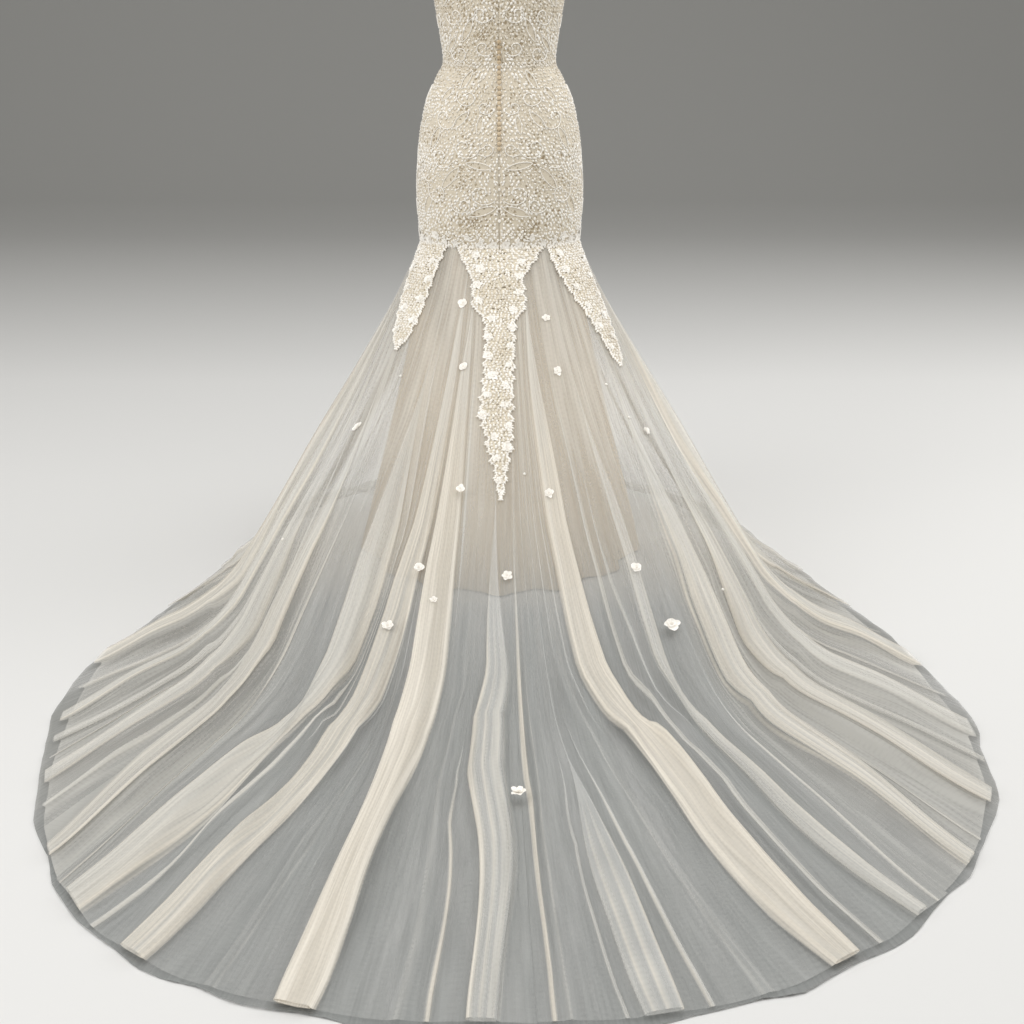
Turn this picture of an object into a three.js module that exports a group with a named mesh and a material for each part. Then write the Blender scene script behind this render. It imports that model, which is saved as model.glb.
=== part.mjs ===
// A strapless mermaid gown with a long train: a fitted lace bodice and hip, two layers of tulle over a plain lining.
// Millimetres, +Z up. The origin is the middle of the waist, the back and the train lie towards -Y, the floor is
// WAIST_HEIGHT below the origin. An angle runs round the gown: 0 is the centre back, 90 the +X side, 180 the front.
import * as THREE from "three";

// Driving sizes of the gown as it is worn.
const WAIST_HEIGHT = 1090;
const FLOOR = -WAIST_HEIGHT;
const HIP_EDGE = -380; // where the fitted lace ends and the tulle flares out
const SEAM_GAP = 0.3; // between any two pieces that are sewn together

// Cloth walls.
const LACE_WALL = 2.0;
const TULLE_WALL = 1.8;
const LINING_WALL = 1.4;
const APPLIQUE_WALL = 1.6;

// The fitted part. Each row is a level section: half its width, and its depth behind and before the middle.
const FITTED = [
  { height: 320, half: 146, back: 96, front: 112 },
  { height: 250, half: 148, back: 97, front: 118 },
  { height: 190, half: 146, back: 97, front: 116 },
  { height: 127, half: 137, back: 94, front: 106 },
  { height: 67, half: 127, back: 88, front: 96 },
  { height: 0, half: 120, back: 84, front: 90 },
  { height: -26, half: 133, back: 88, front: 94 },
  { height: -79, half: 157, back: 99, front: 99 },
  { height: -131, half: 170, back: 110, front: 104 },
  { height: -185, half: 177, back: 118, front: 108 },
  { height: -271, half: 182, back: 120, front: 110 },
  { height: -340, half: 179, back: 117, front: 108 },
  { height: HIP_EDGE, half: 176, back: 114, front: 107 },
];

// The bodice's top edge, from the low centre back up over the cups and down between them.
const NECKLINE = [
  { angle: 0, height: 141 },
  { angle: 35, height: 147 },
  { angle: 70, height: 172 },
  { angle: 95, height: 207 },
  { angle: 122, height: 258 },
  { angle: 146, height: 286 },
  { angle: 165, height: 268 },
  { angle: 180, height: 240 },
];
const CUP = { angle: 150, height: 205, depth: 20, spread: 17, rise: 52 };

// The tulle's lines from hip edge to hem, seen from above: where each reaches the floor, and where it ends.
const LINES = [
  { angle: -180, contactX: 0, contactY: 415, hemX: 0, hemY: 455 },
  { angle: -160, contactX: -232, contactY: 370, hemX: -258, hemY: 408 },
  { angle: -140, contactX: -412, contactY: 225, hemX: -452, hemY: 248 },
  { angle: -120, contactX: -516, contactY: 5, hemX: -562, hemY: -25 },
  { angle: -105, contactX: -560, contactY: -215, hemX: -655, hemY: -335 },
  { angle: -90, contactX: -575, contactY: -455, hemX: -782, hemY: -712 },
  { angle: -75, contactX: -545, contactY: -675, hemX: -775, hemY: -1050 },
  { angle: -60, contactX: -475, contactY: -830, hemX: -705, hemY: -1352 },
  { angle: -45, contactX: -380, contactY: -915, hemX: -584, hemY: -1574 },
  { angle: -30, contactX: -260, contactY: -955, hemX: -415, hemY: -1708 },
  { angle: -15, contactX: -131, contactY: -965, hemX: -217, hemY: -1782 },
  { angle: 0, contactX: 0, contactY: -965, hemX: 0, hemY: -1797 },
  { angle: 15, contactX: 131, contactY: -965, hemX: 224, hemY: -1782 },
  { angle: 30, contactX: 261, contactY: -955, hemX: 432, hemY: -1706 },
  { angle: 45, contactX: 385, contactY: -918, hemX: 618, hemY: -1558 },
  { angle: 60, contactX: 488, contactY: -838, hemX: 768, hemY: -1342 },
  { angle: 75, contactX: 560, contactY: -680, hemX: 838, hemY: -1045 },
  { angle: 90, contactX: 585, contactY: -460, hemX: 812, hemY: -700 },
  { angle: 105, contactX: 568, contactY: -220, hemX: 702, hemY: -345 },
  { angle: 120, contactX: 518, contactY: 5, hemX: 588, hemY: -35 },
  { angle: 140, contactX: 412, contactY: 225, hemX: 458, hemY: 248 },
  { angle: 160, contactX: 232, contactY: 370, hemX: 258, hemY: 408 },
  { angle: 180, contactX: 0, contactY: 415, hemX: 0, hemY: 455 },
];
const FLOOR_BEND = 130; // length of cloth, each way, in which a line turns from hanging to lying
const SAG = 34; // how far a hanging line bows in, as a trumpet does

// Folds of the outer tulle: angle round the gown, angular width, crest height, and the share of the hanging
// length at which the fold begins. A flat fold has a level crest, as a pleat that lies over has.
const FOLDS = [
  { angle: -171, wide: 6.0, high: 16, from: 0.1, flat: false },
  { angle: -157, wide: 6.0, high: 17, from: 0.08, flat: false },
  { angle: -144, wide: 5.5, high: 16, from: 0.1, flat: false },
  { angle: -132, wide: 5.0, high: 17, from: 0.06, flat: false },
  { angle: -121, wide: 4.5, high: 18, from: 0.1, flat: false },
  { angle: -111, wide: 4.2, high: 20, from: 0.06, flat: false },
  { angle: -101.5, wide: 3.8, high: 20, from: 0.1, flat: false },
  { angle: -91, wide: 5.2, high: 22, from: 0.12, flat: true },
  { angle: -80, wide: 3.8, high: 18, from: 0.2, flat: false },
  { angle: -69.5, wide: 4.6, high: 18, from: 0.36, flat: true },
  { angle: -58.5, wide: 4.4, high: 20, from: 0.38, flat: true },
  { angle: -48.5, wide: 5.0, high: 22, from: 0.38, flat: true },
  { angle: -37.5, wide: 4.6, high: 20, from: 0.16, flat: true },
  { angle: -27.5, wide: 3.0, high: 10, from: 0.55, flat: false },
  { angle: -18.5, wide: 5.0, high: 22, from: 0.2, flat: true },
  { angle: -8.0, wide: 2.6, high: 12, from: 0.66, flat: false },
  { angle: -1.0, wide: 4.6, high: 18, from: 0.66, flat: true },
  { angle: 7.0, wide: 2.6, high: 10, from: 0.66, flat: false },
  { angle: 15.5, wide: 4.4, high: 14, from: 0.5, flat: false },
  { angle: 25.5, wide: 3.0, high: 10, from: 0.6, flat: false },
  { angle: 35.0, wide: 5.2, high: 22, from: 0.16, flat: true },
  { angle: 45.5, wide: 3.8, high: 16, from: 0.38, flat: false },
  { angle: 55.5, wide: 4.6, high: 20, from: 0.38, flat: true },
  { angle: 66.5, wide: 4.8, high: 20, from: 0.38, flat: true },
  { angle: 78, wide: 4.8, high: 20, from: 0.38, flat: true },
  { angle: 90.5, wide: 5.0, high: 22, from: 0.1, flat: true },
  { angle: 101.5, wide: 3.8, high: 20, from: 0.08, flat: false },
  { angle: 111, wide: 4.2, high: 20, from: 0.06, flat: false },
  { angle: 121, wide: 4.5, high: 18, from: 0.1, flat: false },
  { angle: 132, wide: 5.0, high: 17, from: 0.06, flat: false },
  { angle: 144, wide: 5.5, high: 16, from: 0.1, flat: false },
  { angle: 157, wide: 6.0, high: 17, from: 0.08, flat: false },
  { angle: 171, wide: 6.0, high: 16, from: 0.1, flat: false },
];
const FOLD_GROWTH = 0.5; // share of the hanging length in which a fold reaches its full height
const FLAT_CREST = 0.5; // share of a flat fold's half width that is level

// Stations down a line: 0 is the hip edge, 1 the floor, 2 the hem.
const STATIONS = [0, 0.12, 0.28, 0.46, 0.64, 0.8, 0.92, 1.04, 1.2, 1.6, 2];
const UNDER_COLUMN = 6.5; // widest angle between two columns of points of the under tulle

// How far the two layers of tulle lie from each other, and how much further the under layer reaches at the hem.
const TUCK = 8; // the under layers start this far up inside the fitted lace
const UNDER_INSET = LACE_WALL + 0.4;
const LAYER_PLAY = 0.6; // between the two layers of tulle at the hip edge
const LAYER_GAP = 4;
const HEM_REACH = { side: 40, tip: 14 };

// Seams of the tulle gores and of the fitted part, as angles.
const GORES = [
  { name: "back_left", from: -53.8, to: 4 },
  { name: "back_right", from: 4, to: 50 },
  { name: "side_left", from: -116, to: -53.8 },
  { name: "side_right", from: 50, to: 116 },
  { name: "front", from: 116, to: 244 },
];
const PANELS = [
  { name: "back_left", from: -90, to: 0 },
  { name: "back_right", from: 0, to: 90 },
  { name: "front", from: 90, to: 270 },
];
const PANEL_COLUMN = 7.5;
const HIP_STATIONS = [0, -13, -26, -52, -79, -105, -131, -185, -271, -330, HIP_EDGE];
const BODICE_SHARES = [0, 0.15, 0.32, 0.52, 0.72, 0.88, 1];

// The lining: a narrower skirt that ends on the floor, with soft waves round its hem.
const LINING = {
  back: 350,
  side: 320,
  front: 320,
  waves: 14,
  depth: 13,
  draw: 10,
  inset: UNDER_INSET + TULLE_WALL + 1.8,
};
const LINING_SHARES = [-1, 0, 0.2, 0.4, 0.7, 1]; // -1 stands for the edge tucked up inside the lace
const LINING_COLUMN = 6.5;

// Lace that runs down over the tulle. Each row is a distance down the skirt and the edges of the lace, as angles.
const LACE_LIFT = 1.0;
const LACE_GAP = { least: 5, stagger: 0.32 }; // cells wider than the least are cut through, in staggered rows
const LACE_DROPS = [
  {
    name: "lace_drop_back",
    columns: 9,
    rowCount: 25,
    edges: [
      { down: 1.2, left: -31, right: 31 },
      { down: 35, left: -24, right: 23 },
      { down: 75, left: -17, right: 14 },
      { down: 115, left: -15.5, right: 14.5 },
      { down: 150, left: -14.5, right: 14.5 },
      { down: 180, left: -7.5, right: 8.5 },
      { down: 230, left: -6.4, right: 7.2 },
      { down: 320, left: -6.4, right: 6.0 },
      { down: 420, left: -7.6, right: 5.0 },
      { down: 455, left: -5.0, right: 5.0 },
      { down: 500, left: -3.6, right: 4.2 },
      { down: 540, left: -1.3, right: 2.8 },
      { down: 618, left: 0.3, right: 1.3 },
    ],
  },
  {
    name: "lace_drop_left",
    columns: 7,
    rowCount: 13,
    edges: [
      { down: 1.2, left: -79, right: -41 },
      { down: 60, left: -75, right: -45 },
      { down: 120, left: -71, right: -46 },
      { down: 180, left: -66, right: -47 },
      { down: 240, left: -61, right: -50 },
      { down: 275, left: -58, right: -53 },
    ],
  },
  {
    name: "lace_drop_right",
    columns: 7,
    rowCount: 15,
    edges: [
      { down: 1.2, left: 36, right: 80 },
      { down: 60, left: 40, right: 76 },
      { down: 120, left: 46, right: 74 },
      { down: 180, left: 53, right: 72 },
      { down: 250, left: 58, right: 69 },
      { down: 320, left: 61, right: 66 },
    ],
  },
];

// Covered buttons down the centre back.
const BUTTON = { count: 22, top: 47, bottom: -168, radius: 4.5, shank: 1.8, stand: 1.1, dome: 3.6, sides: 8 };

// Lace flowers sewn on the tulle: angle round the gown, station down the line, and radius.
const FLOWERS = [
  { angle: -21, station: 0.125, radius: 12 },
  { angle: 26, station: 0.16, radius: 10 },
  { angle: -16.5, station: 0.27, radius: 11 },
  { angle: 27, station: 0.28, radius: 12 },
  { angle: -62.5, station: 0.43, radius: 12 },
  { angle: 62.5, station: 0.44, radius: 12 },
  { angle: -12.5, station: 0.54, radius: 10 },
  { angle: 16.5, station: 0.545, radius: 12 },
  { angle: -21.5, station: 0.71, radius: 12 },
  { angle: 2.5, station: 0.71, radius: 12 },
  { angle: 37.5, station: 0.72, radius: 13 },
  { angle: -27, station: 0.82, radius: 14 },
  { angle: 43, station: 0.83, radius: 17 },
  { angle: 3.5, station: 1.33, radius: 16 },
];
const FLOWER = { petals: 5, thick: 1.6, notch: 0.62, facePoints: 4 };

const DEGREE = Math.PI / 180;
const vector = (x, y, z) => new THREE.Vector3(x, y, z);
const clamp01 = (x) => Math.min(1, Math.max(0, x));
const smooth = (x) => clamp01(x) ** 2 * (3 - 2 * clamp01(x));
const between = (a, b, share) => a + (b - a) * share;
// An angle brought into the range from -180 to 180.
const turned = (angle) => angle - 360 * Math.round(angle / 360);

// A column of a table at a key, on a smooth curve through its rows. Keys rise from the first row to the last.
function lookUp(rows, key, column, at) {
  const last = rows.length - 1;
  let i = rows.findIndex((row) => row[key] >= at) - 1;
  if (i < 0) i = at <= rows[0][key] ? 0 : last - 1;
  const slope = (k) => {
    const low = rows[Math.max(0, k - 1)];
    const high = rows[Math.min(last, k + 1)];
    return (high[column] - low[column]) / (high[key] - low[key]);
  };
  const span = rows[i + 1][key] - rows[i][key];
  const t = clamp01((at - rows[i][key]) / span);
  const [a, b] = [rows[i][column], rows[i + 1][column]];
  const [ma, mb] = [slope(i) * span, slope(i + 1) * span];
  return (
    (2 * t ** 3 - 3 * t ** 2 + 1) * a +
    (t ** 3 - 2 * t ** 2 + t) * ma +
    (3 * t ** 2 - 2 * t ** 3) * b +
    (t ** 3 - t ** 2) * mb
  );
}
const FITTED_UP = [...FITTED].reverse();

// A point of the fitted part's outer face, or of a face that lies inset within it.
function fittedPoint(angle, height, inset) {
  const a = angle * DEGREE;
  const half = lookUp(FITTED_UP, "height", "half", height) - inset;
  const side = Math.cos(a) >= 0 ? "back" : "front";
  const depth = lookUp(FITTED_UP, "height", side, height) - inset;
  const point = vector(half * Math.sin(a), -depth * Math.cos(a), height);
  const offAngle = (Math.abs(turned(angle)) - CUP.angle) / CUP.spread;
  const offHeight = (height - CUP.height) / CUP.rise;
  const cup = CUP.depth * Math.exp(-(offAngle ** 2) - offHeight ** 2);
  const out = vector(point.x, point.y, 0).normalize();
  return point.addScaledVector(out, cup);
}

// The hip edge, floor and hem points of a line of the tulle, with the lengths between them.
const LINES_ROUND = [-360, 0, 360].flatMap((shift) =>
  LINES.slice(1).map((row) => ({ ...row, angle: row.angle + shift })),
);
function lineOf(angle) {
  const place = (column) => lookUp(LINES_ROUND, "angle", column, angle);
  const top = fittedPoint(angle, HIP_EDGE, 0);
  const floor = vector(place("contactX"), place("contactY"), FLOOR);
  const hem = vector(place("hemX"), place("hemY"), FLOOR);
  const level = vector(floor.x - top.x, floor.y - top.y, 0);
  const inward = level.clone().multiplyScalar((floor.z - top.z) / level.length());
  inward.z = -level.length();
  inward.normalize();
  return { top, floor, hem, inward, hanging: top.distanceTo(floor), lying: floor.distanceTo(hem) };
}

// A point of the bare skirt form: station 0 is the hip edge, 1 the floor, 2 the hem. Beyond 2 it goes straight on.
function skirtForm(angle, station) {
  const line = lineOf(angle);
  const walk = (distance) => {
    if (distance > 0) return line.floor.clone().lerp(line.hem, distance / line.lying);
    const share = 1 + distance / line.hanging;
    const point = line.top.clone().lerp(line.floor, share);
    return point.addScaledVector(line.inward, SAG * 4 * share * (1 - share));
  };
  const distance = station <= 1 ? (station - 1) * line.hanging : (station - 1) * line.lying;
  const bend = Math.min(FLOOR_BEND, 0.9 * line.lying);
  if (Math.abs(distance) >= bend) return walk(distance);
  const u = (distance + bend) / (2 * bend);
  const point = walk(-bend).multiplyScalar((1 - u) ** 2);
  point.addScaledVector(line.floor, 2 * u * (1 - u));
  return point.addScaledVector(walk(bend), u ** 2);
}

// The skirt form's directions round the gown and out of the cloth.
function skirtDirections(angle, station) {
  const step = 0.01;
  const across = skirtForm(angle + step, station).sub(skirtForm(angle - step, station)).normalize();
  const down = skirtForm(angle, station + step).sub(skirtForm(angle, station - step)).normalize();
  return { across, out: down.clone().cross(across).normalize() };
}

// Height of the outer tulle's folds over its plain lie.
function foldHeight(angle, station) {
  let height = 0;
  for (const fold of FOLDS) {
    const off = Math.abs(turned(angle - fold.angle)) / fold.wide;
    if (off >= 1) continue;
    const level = fold.flat ? FLAT_CREST : 0;
    const shape = off <= level ? 1 : (1 - off) / (1 - level);
    height = Math.max(height, fold.high * shape * smooth((station - fold.from) / FOLD_GROWTH));
  }
  return height;
}

// The outer face of a layer of tulle. Each layer eases from its place at the hip edge to its full distance.
const OUTER_REST = 2 * TULLE_WALL + LAYER_GAP;
const easeIn = (station) => smooth(station / 0.3);
function outerTulle(angle, station) {
  const { out } = skirtDirections(angle, station);
  const lift = between(0, OUTER_REST, easeIn(station)) + foldHeight(angle, station);
  return skirtForm(angle, station).addScaledVector(out, lift);
}
function underTulle(angle, station) {
  const { out } = skirtDirections(angle, station);
  const point = skirtForm(angle, station);
  if (station > 1.5) {
    const line = lineOf(angle);
    const tipness = smooth((Math.cos(angle * DEGREE) - 0.1) / 0.5);
    const reach = between(HEM_REACH.side, HEM_REACH.tip, tipness) * smooth((station - 1.5) / 0.5);
    point.addScaledVector(line.hem.sub(line.floor).normalize(), reach);
  }
  return point.addScaledVector(out, between(-UNDER_INSET, TULLE_WALL, easeIn(station)));
}

// A closed wall between two grids of points, each indexed [column][row]. The outer grid is seen from outside with
// its columns running to the right and its rows running down. Open cells are cut right through.
function wall(outer, inner, isOpen = () => false) {
  const columns = outer.length;
  const rows = outer[0].length;
  const positions = [...outer.flat(), ...inner.flat()].flatMap((p) => [p.x, p.y, p.z]);
  const out = (c, r) => c * rows + r;
  const inn = (c, r) => columns * rows + c * rows + r;
  const solid = (c, r) => c >= 0 && r >= 0 && c < columns - 1 && r < rows - 1 && !isOpen(c, r);
  const faces = [];
  const quad = (a, b, c, d) => faces.push(a, b, c, a, c, d);
  for (let c = 0; c + 1 < columns; c += 1) {
    for (let r = 0; r + 1 < rows; r += 1) {
      if (!solid(c, r)) continue;
      quad(out(c, r), out(c, r + 1), out(c + 1, r + 1), out(c + 1, r));
      quad(inn(c, r), inn(c + 1, r), inn(c + 1, r + 1), inn(c, r + 1));
      if (!solid(c, r - 1)) quad(out(c, r), out(c + 1, r), inn(c + 1, r), inn(c, r));
      if (!solid(c, r + 1)) quad(out(c, r + 1), inn(c, r + 1), inn(c + 1, r + 1), out(c + 1, r + 1));
      if (!solid(c - 1, r)) quad(out(c, r), inn(c, r), inn(c, r + 1), out(c, r + 1));
      if (!solid(c + 1, r)) quad(out(c + 1, r), out(c + 1, r + 1), inn(c + 1, r + 1), inn(c + 1, r));
    }
  }
  const geometry = new THREE.BufferGeometry();
  geometry.setAttribute("position", new THREE.Float32BufferAttribute(positions, 3));
  geometry.setIndex(faces);
  return geometry;
}

// Angles from one seam to the next, none further apart than the step, with wanted angles kept in their place.
function columnAngles(from, to, step, wanted = []) {
  const clear = step * 0.18;
  const kept = wanted.filter((a) => a > from + clear && a < to - clear).sort((a, b) => a - b);
  const stops = [from, ...kept.filter((a, i) => !i || a - kept[i - 1] > clear), to];
  const angles = [];
  stops.slice(1).forEach((stop, i) => {
    const pieces = Math.ceil((stop - stops[i]) / step);
    for (let k = 0; k < pieces; k += 1) angles.push(between(stops[i], stop, k / pieces));
  });
  return [...angles, to];
}

// A point moved half a seam gap into its own piece, if it lies on one of the piece's seams.
function offSeam(point, across, index, count) {
  const move = index === 0 ? SEAM_GAP / 2 : index === count - 1 ? -SEAM_GAP / 2 : 0;
  return point.addScaledVector(across, move);
}

const gown = new THREE.Group();
function cloth(colour, roughness, opacity = 1) {
  return new THREE.MeshStandardMaterial({
    color: colour,
    roughness,
    metalness: 0,
    transparent: opacity < 1,
    opacity,
  });
}
const LACE = cloth("#e6dcc8", 0.8);
const APPLIQUE = cloth("#efe9da", 0.75);
const OUTER_TULLE = cloth("#d8d3c9", 0.7, 0.45);
const UNDER_TULLE = cloth("#a3a29d", 0.75, 0.8);
const LINING_CLOTH = cloth("#c8bba8", 0.6);
const BUTTON_SATIN = cloth("#e2cfae", 0.5);

function add(name, geometry, material) {
  const mesh = new THREE.Mesh(geometry, material);
  mesh.name = name;
  gown.add(mesh);
  return mesh;
}

// A panel of the fitted part between two seams, its rows given by a height for each station and angle.
function fittedPanel(name, panel, stations, heightAt) {
  const angles = columnAngles(panel.from, panel.to, PANEL_COLUMN);
  const grid = (inset) =>
    angles.map((angle, column) =>
      stations.map((station) => {
        const height = heightAt(station, angle);
        const ahead = fittedPoint(angle + 0.05, height, inset);
        const across = ahead.sub(fittedPoint(angle - 0.05, height, inset)).normalize();
        return offSeam(fittedPoint(angle, height, inset), across, column, angles.length);
      }),
    );
  add(name, wall(grid(0), grid(LACE_WALL)), LACE);
}
const necklineAt = (angle) => lookUp(NECKLINE, "angle", "height", Math.abs(turned(angle)));
for (const panel of PANELS) {
  const bodiceHeight = (share, angle) => between(necklineAt(angle), SEAM_GAP / 2, share);
  fittedPanel("bodice_" + panel.name, panel, BODICE_SHARES, bodiceHeight);
  const hipHeight = (station) => Math.min(station, -SEAM_GAP / 2);
  fittedPanel("hip_" + panel.name, panel, HIP_STATIONS, hipHeight);
}

// The outer tulle. Its points follow the folds: both feet of each, and its crest.
const foldAngles = FOLDS.flatMap((fold) => {
  const crest = fold.flat ? [-FLAT_CREST, FLAT_CREST] : [0];
  return [-1, ...crest, 1].map((k) => fold.angle + k * fold.wide);
});
const foldColumns = [...foldAngles, ...foldAngles.map((a) => a + 360)];
const outerGrids = [];
for (const gore of GORES) {
  const angles = columnAngles(gore.from, gore.to, 9, foldColumns);
  const grid = (depth) =>
    angles.map((angle, column) =>
      STATIONS.map((station) => {
        const { across, out } = skirtDirections(angle, station);
        const point = outerTulle(angle, station).addScaledVector(out, -depth);
        if (station === 0) point.z -= SEAM_GAP;
        return offSeam(point, across, column, angles.length);
      }),
    );
  const outer = grid(0);
  outerGrids.push({ angles, points: outer });
  add("tulle_outer_" + gore.name, wall(outer, grid(TULLE_WALL)), OUTER_TULLE);
}

// The under tulle, tucked up inside the fitted lace, flat on the floor and a little longer than the outer tulle.
for (const gore of GORES) {
  const angles = columnAngles(gore.from, gore.to, UNDER_COLUMN);
  const grid = (depth) =>
    angles.map((angle, column) => {
      const { across } = skirtDirections(angle, 0);
      const slant = Math.hypot(skirtDirections(angle, 0).out.x, skirtDirections(angle, 0).out.y);
      const edgeInset = Math.max(UNDER_INSET, (TULLE_WALL + LAYER_PLAY) / slant);
      const tuck = fittedPoint(angle, HIP_EDGE + TUCK, UNDER_INSET + depth);
      const points = STATIONS.map((station) => {
        const frame = skirtDirections(angle, station);
        const point = underTulle(angle, station);
        if (station > 0) point.addScaledVector(frame.out, -depth);
        else point.copy(fittedPoint(angle, HIP_EDGE, edgeInset + depth));
        return offSeam(point, frame.across, column, angles.length);
      });
      return [offSeam(tuck, across, column, angles.length), ...points];
    });
  add("tulle_under_" + gore.name, wall(grid(0), grid(TULLE_WALL)), UNDER_TULLE);
}

// The lining, in two halves seamed at the sides. Its first two rows stand level inside the fitted lace.
function liningPoint(angle, row, inset) {
  const a = angle * DEGREE;
  const share = Math.max(0, LINING_SHARES[row]);
  const topHeight = LINING_SHARES[row] < 0 ? HIP_EDGE + TUCK : HIP_EDGE;
  const top = fittedPoint(angle, topHeight, LINING.inset + inset);
  const depth = Math.cos(a) >= 0 ? LINING.back : LINING.front;
  const wave = LINING.depth * Math.cos(LINING.waves * a);
  const hem = vector((LINING.side + wave - inset) * Math.sin(a), -(depth + wave - inset) * Math.cos(a), FLOOR + 2);
  const point = top.clone().lerp(hem, share);
  const out = vector(Math.sin(a), -Math.cos(a), 0);
  return point.addScaledVector(out, -wave * (share - smooth(share)) - LINING.draw * Math.sin(Math.PI * share));
}
for (const half of [
  { name: "lining_back", from: -90, to: 90 },
  { name: "lining_front", from: 90, to: 270 },
]) {
  const angles = columnAngles(half.from, half.to, LINING_COLUMN);
  const grid = (inset) =>
    angles.map((angle, column) =>
      LINING_SHARES.map((_, row) => {
        const ahead = liningPoint(angle + 0.05, row, inset);
        const across = ahead.sub(liningPoint(angle - 0.05, row, inset)).normalize();
        return offSeam(liningPoint(angle, row, inset), across, column, angles.length);
      }),
    );
  add(half.name, wall(grid(0), grid(LINING_WALL)), LINING_CLOTH);
}

// The corners of the outer tulle's cell at an angle and a station, and how far across and down it the place is.
function outerCell(angle, station) {
  const grid = outerGrids.find((g) => g.angles[0] <= angle && angle <= g.angles.at(-1));
  const seek = (list, at) => Math.min(list.length - 2, list.findLastIndex((value) => value <= at));
  const c = seek(grid.angles, angle);
  const r = seek(STATIONS, station);
  const corners = [grid.points[c][r], grid.points[c][r + 1], grid.points[c + 1][r + 1], grid.points[c + 1][r]];
  const across = (angle - grid.angles[c]) / (grid.angles[c + 1] - grid.angles[c]);
  const down = (station - STATIONS[r]) / (STATIONS[r + 1] - STATIONS[r]);
  return { corners, across, down };
}

// A point on the outer tulle's own faces.
function onOuterTulle(angle, station) {
  const { corners, across, down } = outerCell(angle, station);
  const [a, b, d, e] = corners;
  const point = a.clone();
  if (down >= across) return point.addScaledVector(b.clone().sub(a), down).addScaledVector(d.clone().sub(b), across);
  return point.addScaledVector(e.clone().sub(a), across).addScaledVector(d.clone().sub(e), down);
}

// Lace drops that lie on the outer tulle, from its own faces moved out, with their gaps cut through.
for (const drop of LACE_DROPS) {
  const last = drop.edges.at(-1).down;
  const grid = (lift) =>
    Array.from({ length: drop.columns + 1 }, (_, column) =>
      Array.from({ length: drop.rowCount + 1 }, (_, row) => {
        const down = between(drop.edges[0].down, last, row / drop.rowCount);
        const inside = column > 0 && column < drop.columns;
        const shift = inside ? LACE_GAP.stagger * (row % 4 < 2 ? 1 : -1) : 0;
        const share = (column + shift) / drop.columns;
        const left = lookUp(drop.edges, "down", "left", down);
        const angle = between(left, lookUp(drop.edges, "down", "right", down), share);
        const station = down / lineOf(angle).hanging;
        const { out } = skirtDirections(angle, station);
        return onOuterTulle(angle, station).addScaledVector(out, lift);
      }),
    );
  const outer = grid(LACE_LIFT + APPLIQUE_WALL);
  const isOpen = (c, r) => {
    if (c % 2 === 0 || r % 2 === 0 || c >= drop.columns - 1 || r >= drop.rowCount - 1) return false;
    const across = [outer[c][r].distanceTo(outer[c + 1][r]), outer[c][r + 1].distanceTo(outer[c + 1][r + 1])];
    return Math.min(...across) > LACE_GAP.least;
  };
  add(drop.name, wall(outer, grid(LACE_LIFT), isOpen), APPLIQUE);
}

// A solid set down on a face: its own +Z turned to the face's outward normal.
function setDown(geometry, place, outward) {
  const turn = new THREE.Quaternion().setFromUnitVectors(vector(0, 0, 1), outward);
  geometry.applyQuaternion(turn);
  geometry.translate(place.x, place.y, place.z);
  return geometry;
}

// Buttons with a shank, on the seam where the two backs meet.
const buttonProfile = [
  [0, 0],
  [BUTTON.shank, 0],
  [BUTTON.shank, BUTTON.stand],
  [BUTTON.radius, BUTTON.stand + 0.5],
  [BUTTON.radius * 0.8, BUTTON.stand + BUTTON.dome * 0.7],
  [0, BUTTON.stand + BUTTON.dome],
].map(([r, z]) => new THREE.Vector2(r, z));
// The centre back seam's rows, from hem side to neck, and a point on its straight runs between them.
const bodiceRows = BODICE_SHARES.map((share) => between(necklineAt(0), 0, share));
const seamRows = [...HIP_STATIONS.slice(1), ...bodiceRows].sort((a, b) => a - b);
function onBackSeam(height) {
  const above = seamRows.findIndex((row) => row >= height);
  const [low, high] = [seamRows[above - 1], seamRows[above]].map((row) => fittedPoint(0, row, 0));
  const run = high.clone().sub(low);
  const point = low.clone().addScaledVector(run, (height - low.z) / run.z);
  return { point, outward: vector(0, -run.z, run.y).normalize() };
}
for (let i = 0; i < BUTTON.count; i += 1) {
  const { point, outward } = onBackSeam(between(BUTTON.top, BUTTON.bottom, i / (BUTTON.count - 1)));
  const geometry = new THREE.LatheGeometry(buttonProfile, BUTTON.sides).rotateX(Math.PI / 2);
  const place = point.addScaledVector(outward, SEAM_GAP);
  add("button_" + String(i + 1).padStart(2, "0"), setDown(geometry, place, outward), BUTTON_SATIN);
}

// The triangle of the outer tulle nearest a wanted place that has room for a flower: its centre, normal and room.
function seatOn(angle, station) {
  const grid = outerGrids.find((g) => g.angles[0] <= angle && angle <= g.angles.at(-1));
  let best = null;
  for (let c = 0; c + 1 < grid.angles.length; c += 1) {
    for (let r = 0; r + 1 < STATIONS.length; r += 1) {
      const [a, b, d, e] = [
        grid.points[c][r],
        grid.points[c][r + 1],
        grid.points[c + 1][r + 1],
        grid.points[c + 1][r],
      ];
      for (const [p, q, s] of [
        [a, b, d],
        [a, d, e],
      ]) {
        const [lp, lq, ls] = [q.distanceTo(s), s.distanceTo(p), p.distanceTo(q)];
        const round = lp + lq + ls;
        const face = new THREE.Triangle(p, q, s);
        const centre = vector(0, 0, 0).addScaledVector(p, lp / round);
        centre.addScaledVector(q, lq / round).addScaledVector(s, ls / round);
        const room = (2 * face.getArea()) / round;
        const off = centre.distanceTo(outerTulle(angle, station)) + 400 / room;
        if (!best || off < best.off) best = { off, centre, room, outward: face.getNormal(vector(0, 0, 0)) };
      }
    }
  }
  return best;
}
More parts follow.
